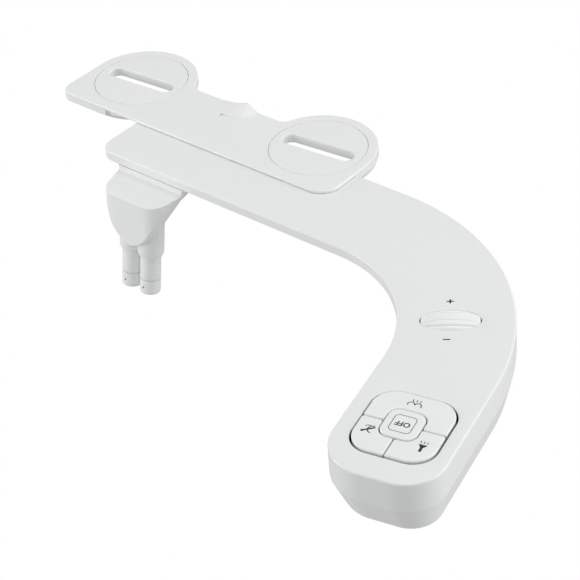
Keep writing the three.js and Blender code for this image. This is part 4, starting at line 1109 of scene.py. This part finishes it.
# rows stand close together where the face turns into the roof
depths = np.concatenate([np.linspace(0, 3.1, 5), np.linspace(3.2, 5.2, 33), np.linspace(5.4, 8.7, 9)[:-1]])
below = np.sin(np.linspace(0, np.pi / 2, 46))
v = np.concatenate([hood["split"] * depths / 8.7, hood["split"] + (1 - hood["split"]) * below])
halfWidth, level = hoodFace(v)
width = halfWidth[:, None]
fx = width * np.sin(np.linspace(-np.pi / 2, np.pi / 2, 97))
# the roof cuts the face off higher up; below its first level it stands far in front and has no say
roofY = np.interp(level, hood["roofLevels"], hood["roofPlaces"], left=-120.0)[:, None]
fy = softMax(hoodPlanFront(fx), np.broadcast_to(roofY, fx.shape), hood["soften"])
crease = np.minimum(hood["crease"], 0.85 * width + 1e-6)
over = np.clip(np.abs(fx) - (width - crease), 0, None)
fy = fy + crease - np.sqrt(np.maximum(crease**2 - over**2, 0))
# low down, the side walls stop where they reach the bores of the sleeves
backY = np.interp(level, hood["backLevels"], hood["backPlaces"])
boreY = nozzle["tip"][1] + (level - nozzle["tip"][2]) * hood["boreSlope"] - hood["lean"] * level
offBore = np.clip(halfWidth - hood["wall"] - reachX, 0, hood["boreReach"])
stopY = np.minimum(backY, boreY - np.sqrt(hood["boreReach"] ** 2 - offBore**2))
backY = np.where(offBore < hood["boreReach"], stopY, backY)[:, None]
backY = np.maximum(backY, fy[:, :1] + 0.3)
share = np.linspace(0, 1, 13)[None, 1:]
leftY = fy[:, :1] + (backY - fy[:, :1]) * share[:, ::-1]
rightY = fy[:, -1:] + (backY - fy[:, -1:]) * share
sideX = np.broadcast_to(width, leftY.shape)
gridX = np.concatenate([-sideX, fx, sideX], 1)
gridY = np.concatenate([leftY, fy, rightY], 1)
gridZ = np.broadcast_to(level[:, None], gridX.shape)
outside = np.stack([gridX, gridY, gridZ], -1)
# the inner skin: the same sheet drawn in towards its own back edge by the wall's thickness
innerX = np.maximum(np.abs(gridX) - hood["wall"], 0) * np.sign(gridX)
innerY = np.minimum(gridY + hood["wall"], backY)
innerZ = gridZ - hood["wall"] * np.clip((gridZ + 12) / 6, 0, 1)
inside = np.stack([innerX, innerY, np.minimum(innerZ, hood["top"] - hood["wall"])], -1)
addGrid(shape, outside[::-1], closed=False)
addGrid(shape, inside[::-1, ::-1], closed=False)
for edges in ((outside[:, 0], inside[:, 0]), (inside[:, -1], outside[:, -1])):
    addGrid(shape, edges, closed=False)
addCap(shape, [outside[0]])
lean = Matrix.Identity(4)
lean[1][2] = hood["lean"]
finishPiece("nozzleHood", shape, "housing", shellWhite, ["nozzle_hood"], lean, sharp=50)
print("hood built")

# sleeves and nozzles, drawn upright and then leaned
nozzleUp = Vector((0, nozzle["lean"], math.sqrt(1 - nozzle["lean"] ** 2)))
nozzleTurn = Vector((0, 0, 1)).rotation_difference(nozzleUp).to_matrix().to_4x4()
nozzlePlace = Matrix.Translation(nozzle["tip"]) @ nozzleTurn


def sleeveOutline(inset):
    # two round sleeves that run into each other
    r = nozzle["sleeve"] - inset
    meet = math.degrees(math.acos(reachX / r)) if r > reachX else 0
    return arcLoop([(reachX, 0, r, meet - 180, 180 - meet, 72), (-reachX, 0, r, meet, 360 - meet, 72)])


shape = newShape()
sleeveFrom, sleeveTo = nozzle["sleeveFrom"], nozzle["sleeveTo"]
bottomEdge = [(i, 2 * sleeveFrom - z) for i, z in reversed(roundedEdge(0.9, sleeveFrom, drop=4.5))]
outer = carried(sleeveOutline, bottomEdge + [(0, sleeveTo)])
addGrid(shape, outer)
bores = [circle(nozzle["bore"], x, 0, 72) for x in (-reachX, reachX)]
inner = [carried(bore, [(0, sleeveTo), (0, sleeveFrom)]) for bore in bores]
for wall in inner:
    addGrid(shape, wall)
addCap(shape, [outer[-1]] + [wall[0] for wall in inner])
addCap(shape, [outer[0]] + [wall[-1] for wall in inner], False)
finishPiece("nozzleSleeves", shape, "housing", shellWhite, ["nozzle_sleeves"], nozzlePlace)

shaft, top, seam, groove = nozzle["radius"], nozzle["length"], nozzle["seamAt"], nozzle["grooveRadius"]
grooveLow, grooveHigh = nozzle["sealGroove"]
shaftSteps = [(0, nozzle["shaftFrom"]), (shaft, nozzle["shaftFrom"]), (shaft, seam - nozzle["seamHalf"])]
shaftSteps += [(shaft - nozzle["seamDepth"], seam), (shaft, seam + nozzle["seamHalf"]), (shaft, grooveLow)]
shaftSteps += [(groove, grooveLow), (groove, grooveHigh), (shaft, grooveHigh), (shaft, top), (0, top)]
shaftProfile = softened(shaftSteps, [0.35, 0.1, 0.1, 0.1, 0.1, 0, 0, 0.1, 0.2])
tipSteps = [(0, 0), (4.6, 0), (5.75, 0.55), (shaft, 1.7)]
tipSteps += [(shaft, nozzle["tipLength"]), (0, nozzle["tipLength"])]
tipProfile = softened(tipSteps, [1.2, 0.9, 0.8, 0.35], 8)
for side, label, x in (("rear_wash", "rearWash", -reachX), ("front_wash", "frontWash", reachX)):
    wand = side + "_wand"
    for ending, profile in (("Nozzle", shaftProfile), ("SprayTip", tipProfile)):
        shape = newShape()
        addTurned(shape, profile, x, 0, 96)
        node = side + ("_nozzle" if ending == "Nozzle" else "_spray_tip")
        finishPiece(label + ending, shape, wand, shellWhite, [node], nozzlePlace)
    # the return spring, shown squeezed, so that it stays under the hood's roof when the nozzle goes up
    shape = newShape()
    addCoil(shape, x, *nozzle["coil"], top + 0.5, top + 8.0, nozzle["coilTurns"])
    springNode = side + "_nozzle_spring"
    finishPiece(label + "Spring", shape, wand, stainless, [springNode], nozzlePlace)
    # spray hole: a dark dimple with a fine raised lip on the front of the tip; its grey is painted shade for
    # the hole
    shape = newShape()
    t = np.linspace(0, 2 * np.pi, 32, endpoint=False)
    rings = []
    for r, out in ((0.62, 0.05), (0.55, 0.02), (0.0, 0.02)):
        px, pz = r * np.cos(t), r * np.sin(t)
        rings.append(np.stack([x + px, -np.sqrt((shaft + out) ** 2 - px**2), nozzle["sprayAt"] + pz], -1))
    addGrid(shape, rings)
    finishPiece(label + "SprayHole", shape, wand, inkGreyAndHoleShade, (), nozzlePlace)
print("sleeves and nozzles built")

# water inlet: a threaded brass stub, square to the deep part's rear wall, with a flange inside it
inlet = {
    "across": 108.0,
    "z": -11.0,
    "radius": 10.38,
    "bore": 6.0,
    "pitch": 1.814,
    "depth": 0.95,
    "mouth": -14.0,
    "root": 2.6,
    "tail": 7.95,
    "tailRadius": 3.0,
    "tailBore": 1.8,
}
inletX, inletY = boxPoint(inlet["across"], 0)
inletPlace = Matrix(
    (
        (across[0], 0, onward[0], inletX),
        (across[1], 0, onward[1], inletY),
        (0, -1, 0, inlet["z"]),
        (0, 0, 0, 1),
    )
)
angle = np.linspace(0, 2 * np.pi, 96, endpoint=False)


def inletRing(radius, z):
    # one ring of the stub; radius may vary round it
    return np.stack([radius * np.cos(angle), radius * np.sin(angle), np.full(len(angle), z)], -1)


along = np.concatenate([[inlet["mouth"]], np.linspace(-13.9, -2.4, 140), [-2.2, inlet["root"]]])
# the thread: a tooth that climbs by one pitch in a turn, and fades out at both ends
phase = along[:, None] / inlet["pitch"] + angle[None, :] / (2 * np.pi)
tooth = np.abs(2 * (phase - np.floor(phase + 0.5)))
depth = inlet["depth"] * np.clip((along + 14) / 0.9, 0, 1) * np.clip((-1.2 - along) / 1.2, 0, 1)
r = inlet["radius"] - depth[:, None] * np.clip(tooth * 1.25 - 0.12, 0, 1)
r[0] -= 0.7
bore, tail, tailBore, tailRadius = (inlet[key] for key in ("bore", "tail", "tailBore", "tailRadius"))
mouth = [(tailBore, tail), (tailBore, 0), (bore, 0), (bore, inlet["mouth"] + 0.3), (bore + 0.3, inlet["mouth"])]
tailEnd = [(tailRadius, inlet["root"]), (tailRadius, tail), (tailBore, tail)]
rings = [inletRing(*step) for step in mouth]
rings += [inletRing(*step) for step in zip(r, along)]
rings += [inletRing(*step) for step in tailEnd]
shape = newShape()
addGrid(shape, rings)
addSlab(shape, roundedRectangle(25, 17.6, 2), inlet["root"], 5.0, 0.3)
finishPiece("waterInlet", shape, "housing", brassMetal, ["water_inlet"], inletPlace)
print("inlet built")


def screwPiece(name, node, spot, seat, head, shankTop, place=None, down=True):
    # a pan-head screw with a cross recess and a plain shank; head gives the head's radius and height
    # its profile runs along the shank, out under the head and over the dome
    shape = newShape()
    x, y = spot
    sign = -1 if down else 1
    turns = np.linspace(0, np.pi / 2, 8)
    dome = [(head[0] * math.cos(t), seat + sign * head[1] * (0.45 + 0.55 * math.sin(t))) for t in turns]
    profile = [(0.02, shankTop), (1.0, shankTop), (1.0, seat), (head[0], seat)]
    profile += [(max(r, 0.02), z) for r, z in dome]
    addTurned(shape, profile[::-1] if down else profile, x, y, 40)
    finishPiece(name, shape, "housing", stainless, [node], place)
    # the cross recess: flat black strokes just over the head, painted shade for the recess
    recess = newShape()
    for turn in (0.3, 0.3 + np.pi / 2):
        way = np.array([math.cos(turn), math.sin(turn)]) * head[0] * 0.55
        addStroke(recess, [(x, y) - way, (x, y) + way], 0.5, seat + sign * (head[1] + 0.015))
    if down:
        recess["faces"] = [f[::-1] for f in recess["faces"]]
    finishPiece(name + "Recess", recess, "housing", rubberAndRecessShadeBlack, (), place)


for n, spot in enumerate(screwSpots, 1):
    screwPiece(f"coverScrew{n}", f"cover_screw_{n}", spot, -8.3, (2.6, 1.6), 2.3)
for n, spot in enumerate(hoodScrews, 1):
    screwPiece(f"hoodScrew{n}", f"hood_screw_{n}", spot, -2.1, (2.1, 1.3), 3.2)
for n, x in enumerate((-16, 16), 1):
    screwPiece(f"valveScrew{n}", f"valve_screw_{n}", (x, 8), -10.7, (2.15, 1.2), -17.2, panelPlace, down=False)
print("screws built")

# a lit white sweep: it shows as plain white, and throws only a little light back up at the object
floorMaterial = bpy.data.materials.new("paleStudioFloor")
floorMaterial.use_nodes = True
tree = floorMaterial.node_tree
tree.nodes.clear()
rays = addNode(tree, "ShaderNodeLightPath")
limits = {"To Min": studio["floorBounce"], "To Max": 1.0}
strength = addNode(tree, "ShaderNodeMapRange", limits, {"Value": rays.outputs["Is Camera Ray"]})
bright = {"Strength": strength.outputs["Result"]}
glow = addNode(tree, "ShaderNodeEmission", {"Color": linear("FFFFFF")}, bright)
addNode(tree, "ShaderNodeOutputMaterial", None, {"Surface": glow.outputs["Emission"]})
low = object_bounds()[0][2] - studio["floorDrop"]
s = studio["floorSize"] / 2
floorMesh = bpy.data.meshes.new("studioFloor")
floorMesh.from_pydata([(-s, -s, low), (s, -s, low), (s, s, low), (-s, s, low)], [], [(0, 1, 2, 3)])
floorMesh.materials.append(floorMaterial)
floor = bpy.data.objects.new("studioFloor", floorMesh)
scene.collection.objects.link(floor)

print("scene ready")
